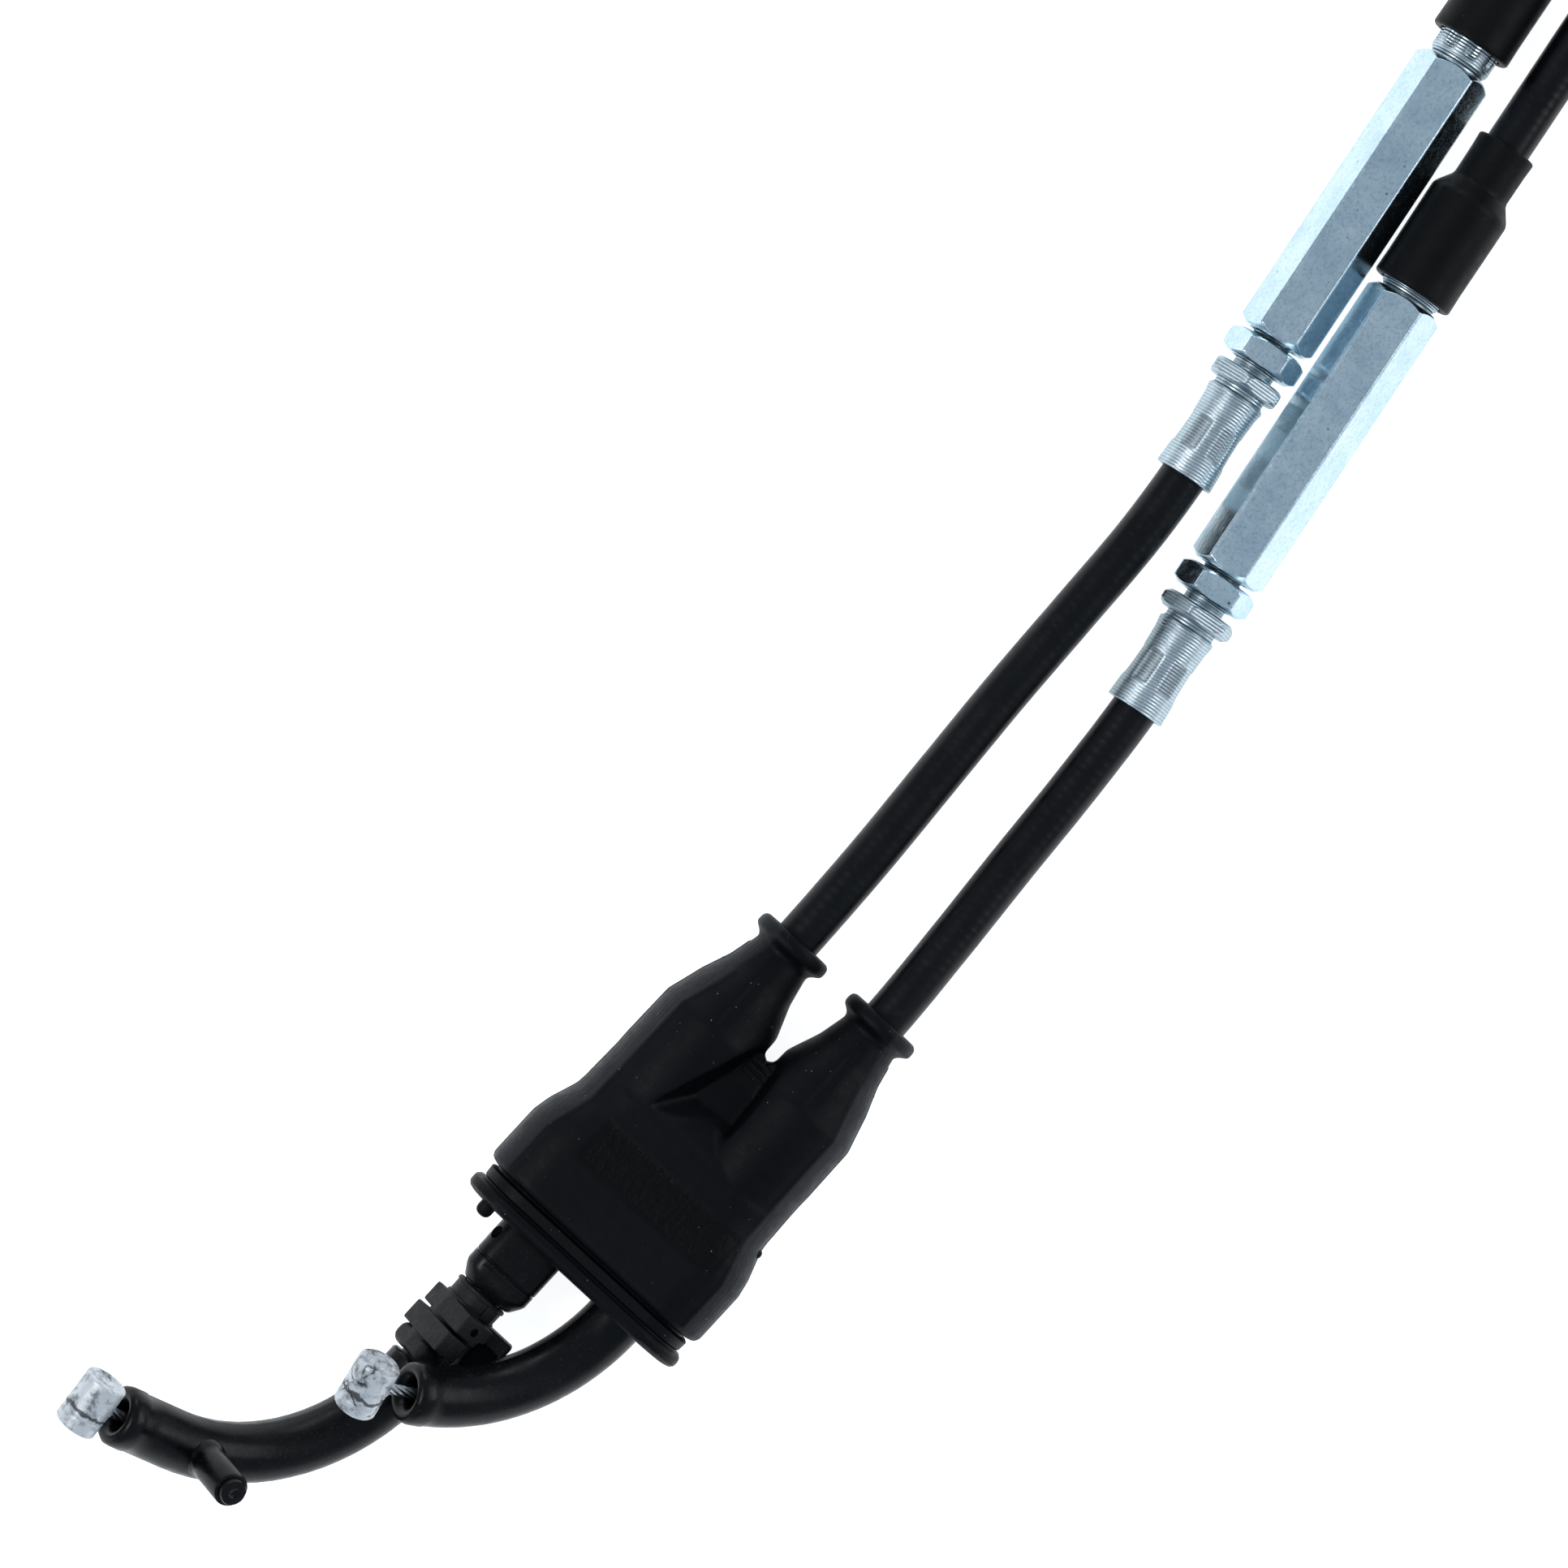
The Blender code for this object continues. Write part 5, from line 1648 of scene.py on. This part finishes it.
def prism(
    start: float, end: float, af: float, bores: Profile, turn: float = 0.0, edge: float = 0.8
) -> Mesh:
    """A hexagonal piece along local X with domed chamfers.

    Args:
        start: where it starts.
        end: where it ends.
        af: its size across flats.
        bores: the inner wall's points, from the end back to the start.
        turn: the angle of one corner in degrees.
        edge: how far the chamfer runs back from each face.
    Returns:
        The mesh.
    """
    corner = af / math.sqrt(3)
    chamfer = [
        (start, af / 2 - 0.32), (start + edge * 0.25, af / 2 - 0.02),
        (start + edge * 0.6, (af / 2 + corner) / 2), (start + edge, corner + 0.1),
    ]
    back = [(start + end - x, r) for x, r in reversed(chamfer)]
    outer = densify(chamfer, 0.12, False).tolist() + densify(back, 0.12, False).tolist()
    inner = rounded([*bores], 0.3, False, 3)
    return lathe("prism", [*outer, *inner], 120, True, 4.0, hexagon(af, turn), turn - 1.5)


def hex_nut(start: float, end: float, af: float, turn: float = 0.0) -> Mesh:
    """A thin nut along local X, countersunk at both ends.

    Args:
        start: where it starts.
        end: where it ends.
        af: its size across flats.
        turn: the angle of one corner in degrees.
    Returns:
        The mesh.
    """
    sink = NUT_MOUTH_R - NUT_BORE_R
    bores = [
        (end, NUT_MOUTH_R), (end - sink, NUT_BORE_R), (start + sink, NUT_BORE_R), (start, NUT_MOUTH_R),
    ]
    return prism(start, end, af, bores, turn)


@dataclass
class Adjuster:
    """An inline adjuster: ferrule, lock nut, long hexagonal sleeve, upper ferrule and dust cap."""

    place: Place
    finishes: Finishes
    side: Side
    foot: tuple[float, float]
    turns: tuple[float, float, float]
    cap_start: float
    shank_r: float = 3.0
    shank_end: float = 44.0
    flange: tuple[float, float] = (13.9, 16.3)
    nut: tuple[float, float] = (17.5, 21.1)
    sleeve: tuple[float, float] = (21.8, 65.6)
    flange_af: float = 10.0
    nut_af: float = 10.0
    sleeve_af: float = 9.75

    def matrix(self) -> Matrix:
        """From local X along the adjuster to the frame."""
        base = self.place.matrix((*self.foot, ADJUSTER_Z), (1.0, 0.0, 0.0))
        return base @ Matrix.Rotation(ADJUSTER_ANGLE, 4, "Z")

    def settle(self, name: str, meshes: Sequence[Mesh], finish: Material, body: str, slot: str) -> None:
        """Puts a piece on the adjuster's axis and on its body.

        Args:
            name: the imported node's name without its side.
            meshes: the piece's closed meshes, along local X.
            finish: its material.
            body: the body that it rides on, without its side, or the root.
            slot: its material slot.
        """
        node = f"{self.side.value}_{name}"
        obj = joined(f"{node}_look", meshes, finish)
        obj.data.transform(self.matrix())
        rider = ROOT if body == ROOT else f"{self.side.value}_{body}"
        Piece(obj, rider, slot, (node,)).settle()

    def build_ferrule(self) -> None:
        """The crimped barrel, its thin hexagon and the threaded shank."""
        barrel = rounded([
            (0.0, CUP_R), (0.0, 4.2), (2.0, 4.12), (5.2, 3.93), (8.6, 3.83), (11.2, 3.95), (12.6, 4.2),
            (12.85, 3.95), (13.05, 3.7), (14.3, 3.68), (14.3, WIRE_BORE_R), (BARREL_CUP, WIRE_BORE_R),
            (BARREL_CUP, CUP_R),
        ], 0.18, steps=3)
        dents = Crimps(3.3, 8.4, 6, 37, 0.17, 62)
        body = dents.mark_dents(lathe("barrel", barrel, 120, True, 0.22, dents.press))
        bores = [(16.25, 4.3), (16.1, 2.0), (14.1, 2.0), (13.95, 4.3)]
        plate = prism(*self.flange, self.flange_af, bores, self.turns[0], 0.85)
        thread = threaded(1.0, 0.42, 18.0, self.shank_end - 0.4, self.shank_r)
        shank_profile = [
            (12.2, WIRE_BORE_R), (12.2, self.shank_r), (self.shank_end - 0.7, self.shank_r),
            (self.shank_end, self.shank_r - 0.55), (self.shank_end, WIRE_BORE_R + 0.3),
            (self.shank_end - 0.3, WIRE_BORE_R),
        ]
        shank = lathe("shank", shank_profile, 40, True, 0.14, thread)
        self.settle("lower_ferrule", [body, plate, shank], self.finishes.turned, ROOT, "zinc_plate")

    def build_nut(self) -> None:
        """The lock nut."""
        nut = hex_nut(*self.nut, self.nut_af, self.turns[1])
        self.settle("lock_nut", [nut], self.finishes.zinc, "nut", "zinc_plate")

    def build_sleeve(self) -> None:
        """The long hexagonal sleeve."""
        start, end = self.sleeve
        bores = [
            (end, 4.45), (end - 0.3, 4.2), (50.0, 4.2), (50.0, NUT_BORE_R), (start + 0.5, NUT_BORE_R),
            (start, 3.8),
        ]
        tube = prism(start, end, self.sleeve_af, bores, self.turns[2], 1.0)
        self.settle("adjuster_sleeve", [tube], self.finishes.zinc, "sleeve", "zinc_plate")

    def build_upper(self) -> None:
        """The upper ferrule with its crimped neck."""
        profile = rounded([
            (57.0, WIRE_BORE_R), (57.0, 3.9), (66.0, 3.9), (66.1, 4.05), (66.6, 4.35), (79.3, 4.35),
            (79.5, 4.1), (79.5, CUP_R), (UPPER_CUP_FLOOR, CUP_R), (UPPER_CUP_FLOOR, WIRE_BORE_R),
        ], 0.15, steps=2)
        body = lathe("upper", profile, 96, True, 0.3, Crimps(67.1, 71.5, 8, 22, 0.5, 10).press)
        self.settle("upper_ferrule", [body], self.finishes.turned, "carrier", "zinc_plate")

    def build_cap(self) -> None:
        """The stepped rubber dust cap."""
        x = self.cap_start
        step = x + 14.2
        nose = step + 2.2
        tip = nose + 6.8
        profile = rounded([
            (x, 4.65), (x, 5.5), (x + 0.3, 5.8), (x + 3.0, 5.74), (step - 0.4, 5.8), (step, 5.72),
            (step + 0.5, 5.45), (nose, 4.25), (nose + 0.5, 4.12), (tip - 2.0, 4.16),
            (tip - 0.25, 4.25), (tip, 4.05), (tip, CUP_R + 0.12),
            (nose, CUP_R + 0.02), (step - 1.0, 4.65),
        ], 0.22, steps=3)
        body = lathe("cap", profile, 96, True, 0.6, self.mould_line)
        self.settle("dust_cap", [body], self.finishes.cap, "carrier", "cap_rubber")

    @staticmethod
    def mould_line(_x: Array, theta: Array, r: Array) -> Array:
        """Raises the cap's parting line on both sides."""
        off = np.abs((theta + 0.3 + math.pi / 2) % math.pi - math.pi / 2)
        return r + np.where(r > 4.0, 0.06 * np.exp(-((off / 0.04) ** 2)), 0.0) * (r != 4.65)

    def build(self) -> None:
        """Makes the five pieces."""
        self.build_ferrule()
        self.build_nut()
        self.build_sleeve()
        self.build_upper()
        self.build_cap()


@dataclass
class Nipple:
    """A die-cast barrel nipple, whose own axis lies across its wire."""

    place: Place
    finishes: Finishes
    node: str
    body: str
    at: Array
    wire_heading: Sequence[float]
    lean: Sequence[float]
    radius: float = 3.0
    length: float = 7.7
    seed: int = 3

    def rough(self, x: Array, theta: Array, r: Array) -> Array:
        """Dents the casting and leaves a shallow ring near one end.

        Args:
            x: places along the barrel.
            theta: their angles.
            r: their radii.
        Returns:
            The new radii.
        """
        rng = np.random.default_rng(self.seed)
        change = np.zeros_like(r)
        for _ in range(14):
            waves, around, phase = rng.uniform(0.6, 2.6), rng.integers(1, 7), rng.uniform(0, 6.3)
            change += rng.uniform(0.3, 1.0) * np.sin(waves * x * 1.6 + around * theta + phase)
        ring = np.exp(-(((x + 1.9) / 0.16) ** 2))
        return np.where(r > 0.5, r * (1 + 0.0011 * change) - 0.09 * ring, r)

    def build(self) -> None:
        """Makes the nipple on its body."""
        half, r = self.length / 2, self.radius
        profile = [
            (-half, 0.0), (-half, 0.9), (-half, r - 0.3), (-half + 0.08, r - 0.12), (-half + 0.25, r - 0.02),
            (half - 0.25, r - 0.02), (half - 0.08, r - 0.12), (half, r - 0.3), (half, 2.1),
            (half - 0.18, 1.9), (half - 0.22, 1.2), (half - 0.08, 1.05), (half - 0.1, 0.0),
        ]
        mesh = lathe("nipple", profile, 72, False, 0.25, self.rough)
        heading = Vector(self.wire_heading).normalized()
        across = Vector(self.lean) - Vector(self.lean).dot(heading) * heading
        across.normalize()
        turn = Matrix((across, heading, across.cross(heading))).transposed().to_4x4()
        mesh.transform(self.place.stand(self.at) @ turn)
        socket = lathe("socket", [(-1.2, 0.0), (-1.2, 1.5), (0.1, 1.35), (0.35, 1.0), (0.4, 0.0)], 28, False)
        back = self.place.matrix(np.asarray(self.at) - np.array(heading) * (r - 0.25), -heading)
        obj = joined(f"{self.node}_look", [mesh, moved(socket, back)], self.finishes.cast)
        Piece(obj, self.body, "cast_zinc", (self.node,)).settle()


@dataclass
class Cable:
    """One cable from its grip-end nipple to the adjuster: wire, boot ferrule, jacket and winding."""

    place: Place
    finishes: Finishes
    elbow: Elbow
    nipple_out: float
    lean: tuple[float, float, float]
    lower: tuple
    adjuster: Adjuster

    def conduit_line(self) -> Array:
        """The lower conduit's centreline in millimetres.

        Returns:
            Its points.
        """
        foot = self.adjuster.foot
        ends = [adjuster_point(foot, s) for s in (0.0, BARREL_CUP - 0.6)]
        return smooth_route([*self.lower, *ends], 1.0)

    def build_conduit(self) -> None:
        """The jacket over its wound steel band."""
        side = self.elbow.side.value
        path = self.place.metres(self.conduit_line())
        length = route_length(path) / MM
        jacket = sheath(f"{side}_jacket_look", path, tube_profile(0, length, CONDUIT_R, 2.35, 1.2), 40)
        obj = mesh_object(f"{side}_jacket_look", jacket, self.finishes.jacket)
        Piece(obj, ROOT, "jacket_vinyl", (f"{side}_jacket",)).settle()
        wound = tube_profile(0, length, 2.05, 1.1, 0.5)
        cut = threaded(1.5, 0.22, 0.5, length - 0.5, 2.05)
        band = sheath(f"{side}_winding_look", path, wound, 20, cut)
        obj = mesh_object(f"{side}_winding_look", band, self.finishes.wire)
        Piece(obj, ROOT, "steel_wire", (f"{side}_winding",)).settle()

    def build_boot_ferrule(self) -> None:
        """The crimped cup that joins the elbow to its conduit inside the boot."""
        side = self.elbow.side.value
        profile = rounded([
            (0.0, 2.2), (0.0, 4.1), (0.3, 4.15), (13.3, 4.15), (13.5, 3.95), (13.5, CUP_R), (2.0, CUP_R),
            (2.0, 2.2),
        ], 0.15, steps=2)
        mesh = lathe("ferrule", profile, 72, True, 0.4, Crimps(4.0, 9.8, 6, 34, 0.35).press)
        mesh.transform(self.place.matrix((ELBOW_REAR_X + 0.3, self.elbow.y, BOOT_Z), (1, 0, 0)))
        obj = mesh_object(f"{side}_boot_ferrule_look", mesh, self.finishes.turned)
        Piece(obj, ROOT, "zinc_plate", (f"{side}_boot_ferrule",)).settle()

    def build_wire(self) -> None:
        """The stranded inner wire, which the nipple draws out of the elbow."""
        side = self.elbow.side.value
        reach = self.nipple_out - 3.3
        front = self.elbow.line(reach)[::-1]
        end = adjuster_point(self.adjuster.foot, UPPER_CUP_FLOOR - 0.6)
        rest = self.conduit_line()
        straight = np.linspace(rest[-1], end, 60)[1:]
        path = self.place.metres(np.concatenate([front, rest, straight]))
        mesh = laid_wire(path, WIRE_R, 6, 9.0, self.finishes.wire)
        obj = mesh_object(f"{side}_wire_look", mesh, self.finishes.wire)
        start = self.place.metres(self.elbow.mouth(-min(6.0, self.elbow.tail + 3.0))[0])
        stop = self.place.metres(self.elbow.mouth(reach)[0])
        Piece(obj, ROOT, "steel_wire", (f"{side}_wire",)).settle_blend()

    def build(self) -> None:
        """Makes the cable's pieces, its nipple and its adjuster."""
        side = self.elbow.side.value
        self.build_boot_ferrule()
        self.build_conduit()
        self.build_wire()
        at, heading = self.elbow.mouth(self.nipple_out)
        Nipple(
            self.place, self.finishes, f"{side}_nipple", f"{side}_nipple_body", at, heading, self.lean,
            seed=3 if self.elbow.side is Side.PULL else 8,
        ).build()
        self.adjuster.build()


# ------------------------------------------------------------------ the free conduits
@dataclass
class FreeCable:
    """An upper conduit: it leaves its adjuster, lies coiled, and ends in a throttle-body fitting."""

    place: Place
    finishes: Finishes
    side: Side
    foot: tuple[float, float]
    cap_tip: float
    lead: tuple
    tail: tuple
    end: tuple[float, float]
    turn_from: float
    turn_to: float
    bottom: float
    centre: tuple[float, float] = (286.0, -8.0)
    outer: float = 38.2
    inner: float = 31.8
    end_z: float = 5.1

    def coil(self) -> list[tuple[float, float, float]]:
        """Points of the coil: clockwise, in and up and out again, two turns wide and two high.

        Returns:
            The points in millimetres.
        """
        whole = (self.turn_from - self.turn_to) / 360.0
        turns = 3.0 + whole % 1.0

        def ease(t: float, low: float, high: float) -> float:
            """A smooth step of t between low and high."""
            u = min(max((t - low) / (high - low), 0.0), 1.0)
            return u * u * (3 - 2 * u)

        points = []
        count = round(turns * 24)
        for k in range(count + 1):
            t = turns * k / count
            inward = ease(t, 0.86, 1.0) - ease(t, 2.56, 2.70)
            radius = self.outer + (self.inner - self.outer) * inward
            height = self.bottom + CONDUIT_R + 2 * CONDUIT_R * ease(t, 1.72, 1.86)
            a = math.radians(self.turn_from - 360.0 * t)
            x, y = self.centre
            points.append((x + radius * math.cos(a), y + radius * math.sin(a), height))
        return points

    def line(self) -> Array:
        """The whole centreline in millimetres."""
        start = [tuple(adjuster_point(self.foot, s)) for s in (CONDUIT_SEAT, CONDUIT_SEAT + 14.0)]
        return smooth_route([*start, *self.lead, *self.coil(), *self.tail], 1.3)

    def tube(self, path: Array) -> Mesh:
        """The jacket, closed at both ends, with its distance along it in the UV map.

        Args:
            path: the centreline in metres.
        Returns:
            The mesh.
        """
        _, first, second = frames_along(path)
        angles = np.linspace(0, 2 * math.pi, 28, endpoint=False)
        round_ = first[:, None, :] * np.cos(angles)[None, :, None]
        round_ = round_ + second[:, None, :] * np.sin(angles)[None, :, None]
        rings = path[:, None, :] + round_ * CONDUIT_R * MM
        return skin(f"{self.side.value}_cord", rings, along=distances(path) / MM)

    def fittings(self) -> list[Object]:
        """The end ferrule, its two nuts, the bare wire and the nipple.

        Returns:
            The pieces.
        """
        side = self.side.value
        at = (*self.end, self.end_z)
        base = self.place.matrix(at, (-1.0, 0.0, 0.0))
        made = []
        cup = rounded([
            (0.0, CUP_R), (0.0, 4.2), (0.3, 4.2), (11.0, 4.2), (11.05, 4.8), (11.3, 4.9), (12.15, 4.9),
            (12.4, 4.75), (12.4, 2.0), (9.0, 2.0), (9.0, CUP_R),
        ], 0.12, steps=2)
        dents = Crimps(2.4, 7.6, 6, 36, 0.2, 15)
        body = dents.mark_dents(lathe("cup", cup, 96, True, 0.25, dents.press))
        thread = threaded(1.0, 0.42, 12.6, 24.5, 3.0)
        shank = [
            (10.0, WIRE_BORE_R), (10.0, 3.0), (24.4, 3.0), (25.0, 2.5), (25.0, WIRE_BORE_R + 0.3),
            (24.7, WIRE_BORE_R),
        ]
        rings = moved(turned_rings(3, 0.7, 4.16, 0.13, self.finishes.turned), shift(8.6, 0, 0))
        ferrule = [body, lathe("shank", shank, 40, True, 0.14, thread), rings]
        obj = joined(f"{side}_end_ferrule_look", [moved(m, base) for m in ferrule], self.finishes.turned)
        made.append(Piece(obj, ROOT, "zinc_plate", (f"{side}_end_ferrule",)).settle())
        for which, start in (("inner", 14.4), ("outer", 20.0)):
            nut = moved(hex_nut(start, start + 3.0, 10.0), base)
            obj = mesh_object(f"{side}_end_nut_{which}_look", nut, self.finishes.zinc)
            body_name = f"{side}_{which}_nut"
            made.append(Piece(obj, body_name, "zinc_plate", (f"{side}_end_nut_{which}",)).settle())
        tip_x = self.end[0] - 50.0
        wire_ends = [(self.end[0] - 11.0, self.end[1], self.end_z), (tip_x + 3.3, self.end[1], self.end_z)]
        path = self.place.metres(np.linspace(wire_ends[0], wire_ends[1], 70))
        wire = mesh_object(
            f"{side}_end_wire_look", laid_wire(path, WIRE_R, 6, 9.0, self.finishes.wire), self.finishes.wire
        )
        piece = Piece(wire, ROOT, "steel_wire", (f"{side}_end_wire",))
        start = self.place.metres((self.end[0] - 25.5, self.end[1], self.end_z))
        made.append(piece.settle_blend())
        nipple = Nipple(
            self.place, self.finishes, f"{side}_end_nipple", f"{side}_end_nipple_body",
            np.array((tip_x, self.end[1], self.end_z)), (-1.0, 0.0, 0.0), (0.0, 1.0, 0.0), seed=21,
        )
        nipple.build()
        made.append(bpy.data.objects[f"{side}_end_nipple_look"])
        return made

    def build(self, extras: Sequence[Object] = ()) -> None:
        """Args:
            extras: more pieces; not used.
        """
        side = self.side.value
        millimetres = self.line()
        path = self.place.metres(millimetres)
        cord = mesh_object(f"{side}_cord", self.tube(path), self.finishes.jacket)
        nodes = (f"{side}_cord_lead", f"{side}_cord_coil", f"{side}_cord_tail")
        Piece(cord, ROOT, "jacket_vinyl", nodes).settle()
        made = self.fittings()
        leave = self.place.metres(adjuster_point(self.foot, self.cap_tip))
        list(extras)


@dataclass
class Tie:
    """A flat nylon tie round both coils."""

    place: Place
    finishes: Finishes
    name: str
    angle: float
    centre: tuple[float, float] = (286.0, -8.0)
    inner: float = 27.5
    outer: float = 42.5
    low: float = 0.1
    high: float = 28.2
    wall: float = 0.8
    width: float = 3.6

    def build(self) -> Object:
        """Makes the band, its lock, its cut tail and the teeth on it.

        Returns:
            The tie.
        """
        half, wall = self.width / 2, self.wall
        band = block((self.inner, -half, self.low), (self.outer, half, self.high), 0.28, 3)
        hole = block(
            (self.inner + wall, -half - 2, self.low + wall), (self.outer - wall, half + 2, self.high - wall),
            0.9, 4,
        )
        shell = carved(band, [hole])
        lock = block((self.outer - 0.3, -2.4, 7.1), (self.outer + 3.4, 2.4, 12.6), 0.6, 4)
        slot = block((self.outer + 0.7, -half - 0.1, 6.0), (self.outer + 2.2, half + 0.1, 14.0), 0.1, 1)
        lock = carved(lock, [slot])
        tongue = block((self.outer + 0.85, -half + 0.1, 6.3), (self.outer + 1.95, half - 0.1, 14.6), 0.2, 2)
        teeth = ratchet_row(17, 0.85, self.width * 0.6, 0.3, self.finishes.tie)
        teeth.transform(shift(self.outer + 0.02, 0, 13.4))
        obj = joined(f"{self.name}_look", [shell, lock, tongue, teeth], self.finishes.tie)
        stand = self.place.stand((*self.centre, 0.0))
        obj.data.transform(stand @ Matrix.Rotation(math.radians(self.angle), 4, "Z"))
        return Piece(obj, ROOT, "tie_nylon", (self.name,)).settle()


# ------------------------------------------------------------------ picture
@dataclass
class Studio:
    """Camera, floor and soft lights."""

    place: Place
    target: tuple[float, float, float] = (66.31, 23.31, 0.0)
    height: float = 1.1686
    lens: float = 200.0
    turn: float = -47.3

    def camera(self) -> None:
        """Looks straight down on the grip end."""
        data = bpy.data.cameras.new("camera")
        data.lens = self.lens
        data.sensor_width = 36.0
        data.clip_end = 20.0
        camera = bpy.data.objects.new("camera", data)
        bpy.context.scene.collection.objects.link(camera)
        camera.location = Vector(self.place.metres(self.target)) + Vector((0, 0, self.height))
        camera.rotation_euler = (0.0, 0.0, math.radians(self.turn))
        bpy.context.scene.camera = camera

    def light(
        self, name: str, away: Sequence[float], size: tuple[float, float], power: float,
        colour: Sequence[float],
    ) -> None:
        """Adds a soft light that looks at the target.

        Args:
            name: the light's name.
            away: its place from the target, in metres.
            size: its width and height in metres.
            power: its power in watts.
            colour: its colour.
        """
        data = bpy.data.lights.new(name, "AREA")
        data.shape = "RECTANGLE"
        data.size, data.size_y = size
        data.energy = power
        data.color = colour
        lamp = bpy.data.objects.new(name, data)
        bpy.context.scene.collection.objects.link(lamp)
        lamp.location = Vector(self.place.metres(self.target)) + Vector(away)
        lamp.rotation_euler = (-Vector(away)).to_track_quat("-Z", "Y").to_euler()

    def floor(self) -> None:
        """A plain pale floor."""
        mesh = bpy.data.meshes.new("floor")
        far = 4.0
        mesh.from_pydata(
            [(-far, -far, 0), (far, -far, 0), (far, far, 0), (-far, far, 0)], [], [(0, 1, 2, 3)]
        )
        shader = Shader("floor_paper")
        seen = shader.add("ShaderNodeLightPath").outputs["Is Camera Ray"]
        glow = shader.band(seen, 0.0, 1.0, (0.62, 0.86))
        paper = shader.dress(
            Base_Color=(0.93, 0.93, 0.93), Roughness=0.9, Specular_IOR_Level=0.0,
            Emission_Color=(1.0, 1.0, 1.0), Emission_Strength=glow,
        )
        floor = mesh_object("floor", mesh, paper)
        floor.location = (0.0, 0.0, -0.0001)

    def build(self) -> None:
        """Sets the picture up."""
        self.camera()
        self.floor()
        world = bpy.data.worlds.new("studio")
        world.use_nodes = True
        background = world.node_tree.nodes["Background"]
        background.inputs["Color"].default_value = (0.62, 0.76, 0.88, 1.0)
        background.inputs["Strength"].default_value = 0.6
        bpy.context.scene.world = world
        bpy.context.scene.view_settings.view_transform = "Standard"
        self.light("key", (-0.42, 0.46, 0.85), (0.42, 0.30), 4.2, (1.0, 0.99, 0.97))
        self.light("fill", (0.75, -0.75, 0.55), (0.9, 0.5), 4.0, (1.0, 1.0, 1.0))
        self.light("rim", (0.9, 0.8, 0.45), (0.8, 0.4), 2.5, (1.0, 1.0, 1.0))


# ------------------------------------------------------------------ the set
PULL_FOOT = (132.6, 12.0)
RETURN_FOOT = (105.3, -4.3)
PULL_LOWER = (
    (9, 6.8, 9.3), (16, 6.8, 9.3), (22, 6.8, 9.3), (29, 7.2, 9.3), (38, 7.8, 9.3), (53, 7.9, 9.2),
    (67, 8.3, 8.6), (81, 9.1, 7.7), (95, 9.9, 6.9), (109, 10.4, 6.2), (122, 10.9, 5.85),
)
RETURN_LOWER = (
    (9, -8.45, 9.3), (16, -8.45, 9.3), (22, -8.45, 9.3), (29, -8.25, 9.3), (38, -7.95, 9.3),
    (53, -7.9, 9.2), (66, -7.2, 8.3), (79, -6.3, 7.0), (92, -5.5, 6.1),
)
PULL_LEAD = ((231.3, 27.8, 5.8), (240, 29.2, 5.5), (249, 30.1, 5.0), (256.5, 30.3, 4.7))
RETURN_LEAD = (
    (204, 11.5, 5.8), (215, 13.3, 6.7), (226, 15.2, 9.3), (238, 17.7, 13.6), (246, 19.8, 16.2),
    (252, 21.6, 17.4),
)
PULL_TAIL = (
    (272, -51.3, 9.4), (262, -53.9, 7.6), (252, -56.2, 6.0), (243, -57.8, 5.2), (234, -58.4, 5.1),
    (226, -58.5, 5.1),
)
RETURN_TAIL = (
    (262, -46.2, 21.2), (252, -46.2, 17.8), (241, -46.2, 12.6), (230, -46.2, 7.9), (220, -46.2, 5.5),
    (212, -46.2, 5.1), (204, -46.2, 5.1),
)


@dataclass
class CableSet:
    """The whole assembly, in the order in which it is built."""

    place: Place
    finishes: Finishes

    def cords(self) -> None:
        """The two free conduits with their ends, and the ties that hold them."""
        ties = [
            Tie(self.place, self.finishes, name, angle).build()
            for name, angle in (("coil_tie_near", 160.0), ("coil_tie_far", 0.0))
        ]
        FreeCable(
            self.place, self.finishes, Side.PULL, PULL_FOOT, 92.3, PULL_LEAD, PULL_TAIL, (232.0, -58.5),
            90.0, 285.0, 1.2,
        ).build(ties)
        FreeCable(
            self.place, self.finishes, Side.RETURN, RETURN_FOOT, 90.0, RETURN_LEAD, RETURN_TAIL,
            (210.0, -46.2), 108.0, 270.0, 14.3,
        ).build()

    def cables(self) -> None:
        """Elbows, wires, lower conduits and adjusters."""
        pull = PeggedElbow(self.place, self.finishes, Side.PULL, 6.8, -25.3, 78.0, 9.7)
        back = Elbow(self.place, self.finishes, Side.RETURN, -8.45, -1.2, 66.0, 1.5)
        for elbow in (pull, back):
            elbow.build()
        Cable(
            self.place, self.finishes, pull, 4.1, (0.95, 0.16, 0.28), PULL_LOWER,
            Adjuster(self.place, self.finishes, Side.PULL, PULL_FOOT, (30, 2, 0), 69.1),
        ).build()
        Cable(
            self.place, self.finishes, back, 6.0, (0.89, 0.17, 0.42), RETURN_LOWER,
            Adjuster(self.place, self.finishes, Side.RETURN, RETURN_FOOT, (17, 4, -4), 66.8),
        ).build()

    def build(self) -> None:
        """Builds every group in turn and logs each one."""
        groups = (
            ("cords", self.cords),
            ("boot", Boot(self.place, self.finishes).build),
            ("holder", Holder(self.place, self.finishes).build),
            ("socket", Socket(self.place, self.finishes).build),
            ("cables", self.cables),
        )
        for name, make in groups:
            make()
            LOG.info("%s built", name)


def main() -> None:
    """Builds the picture and the set."""
    logging.basicConfig(level=logging.INFO, format="%(name)s: %(message)s")
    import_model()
    place = Place()
    Studio(place).build()
    CableSet(place, Finishes()).build()


if __name__ == "__main__":
    main()
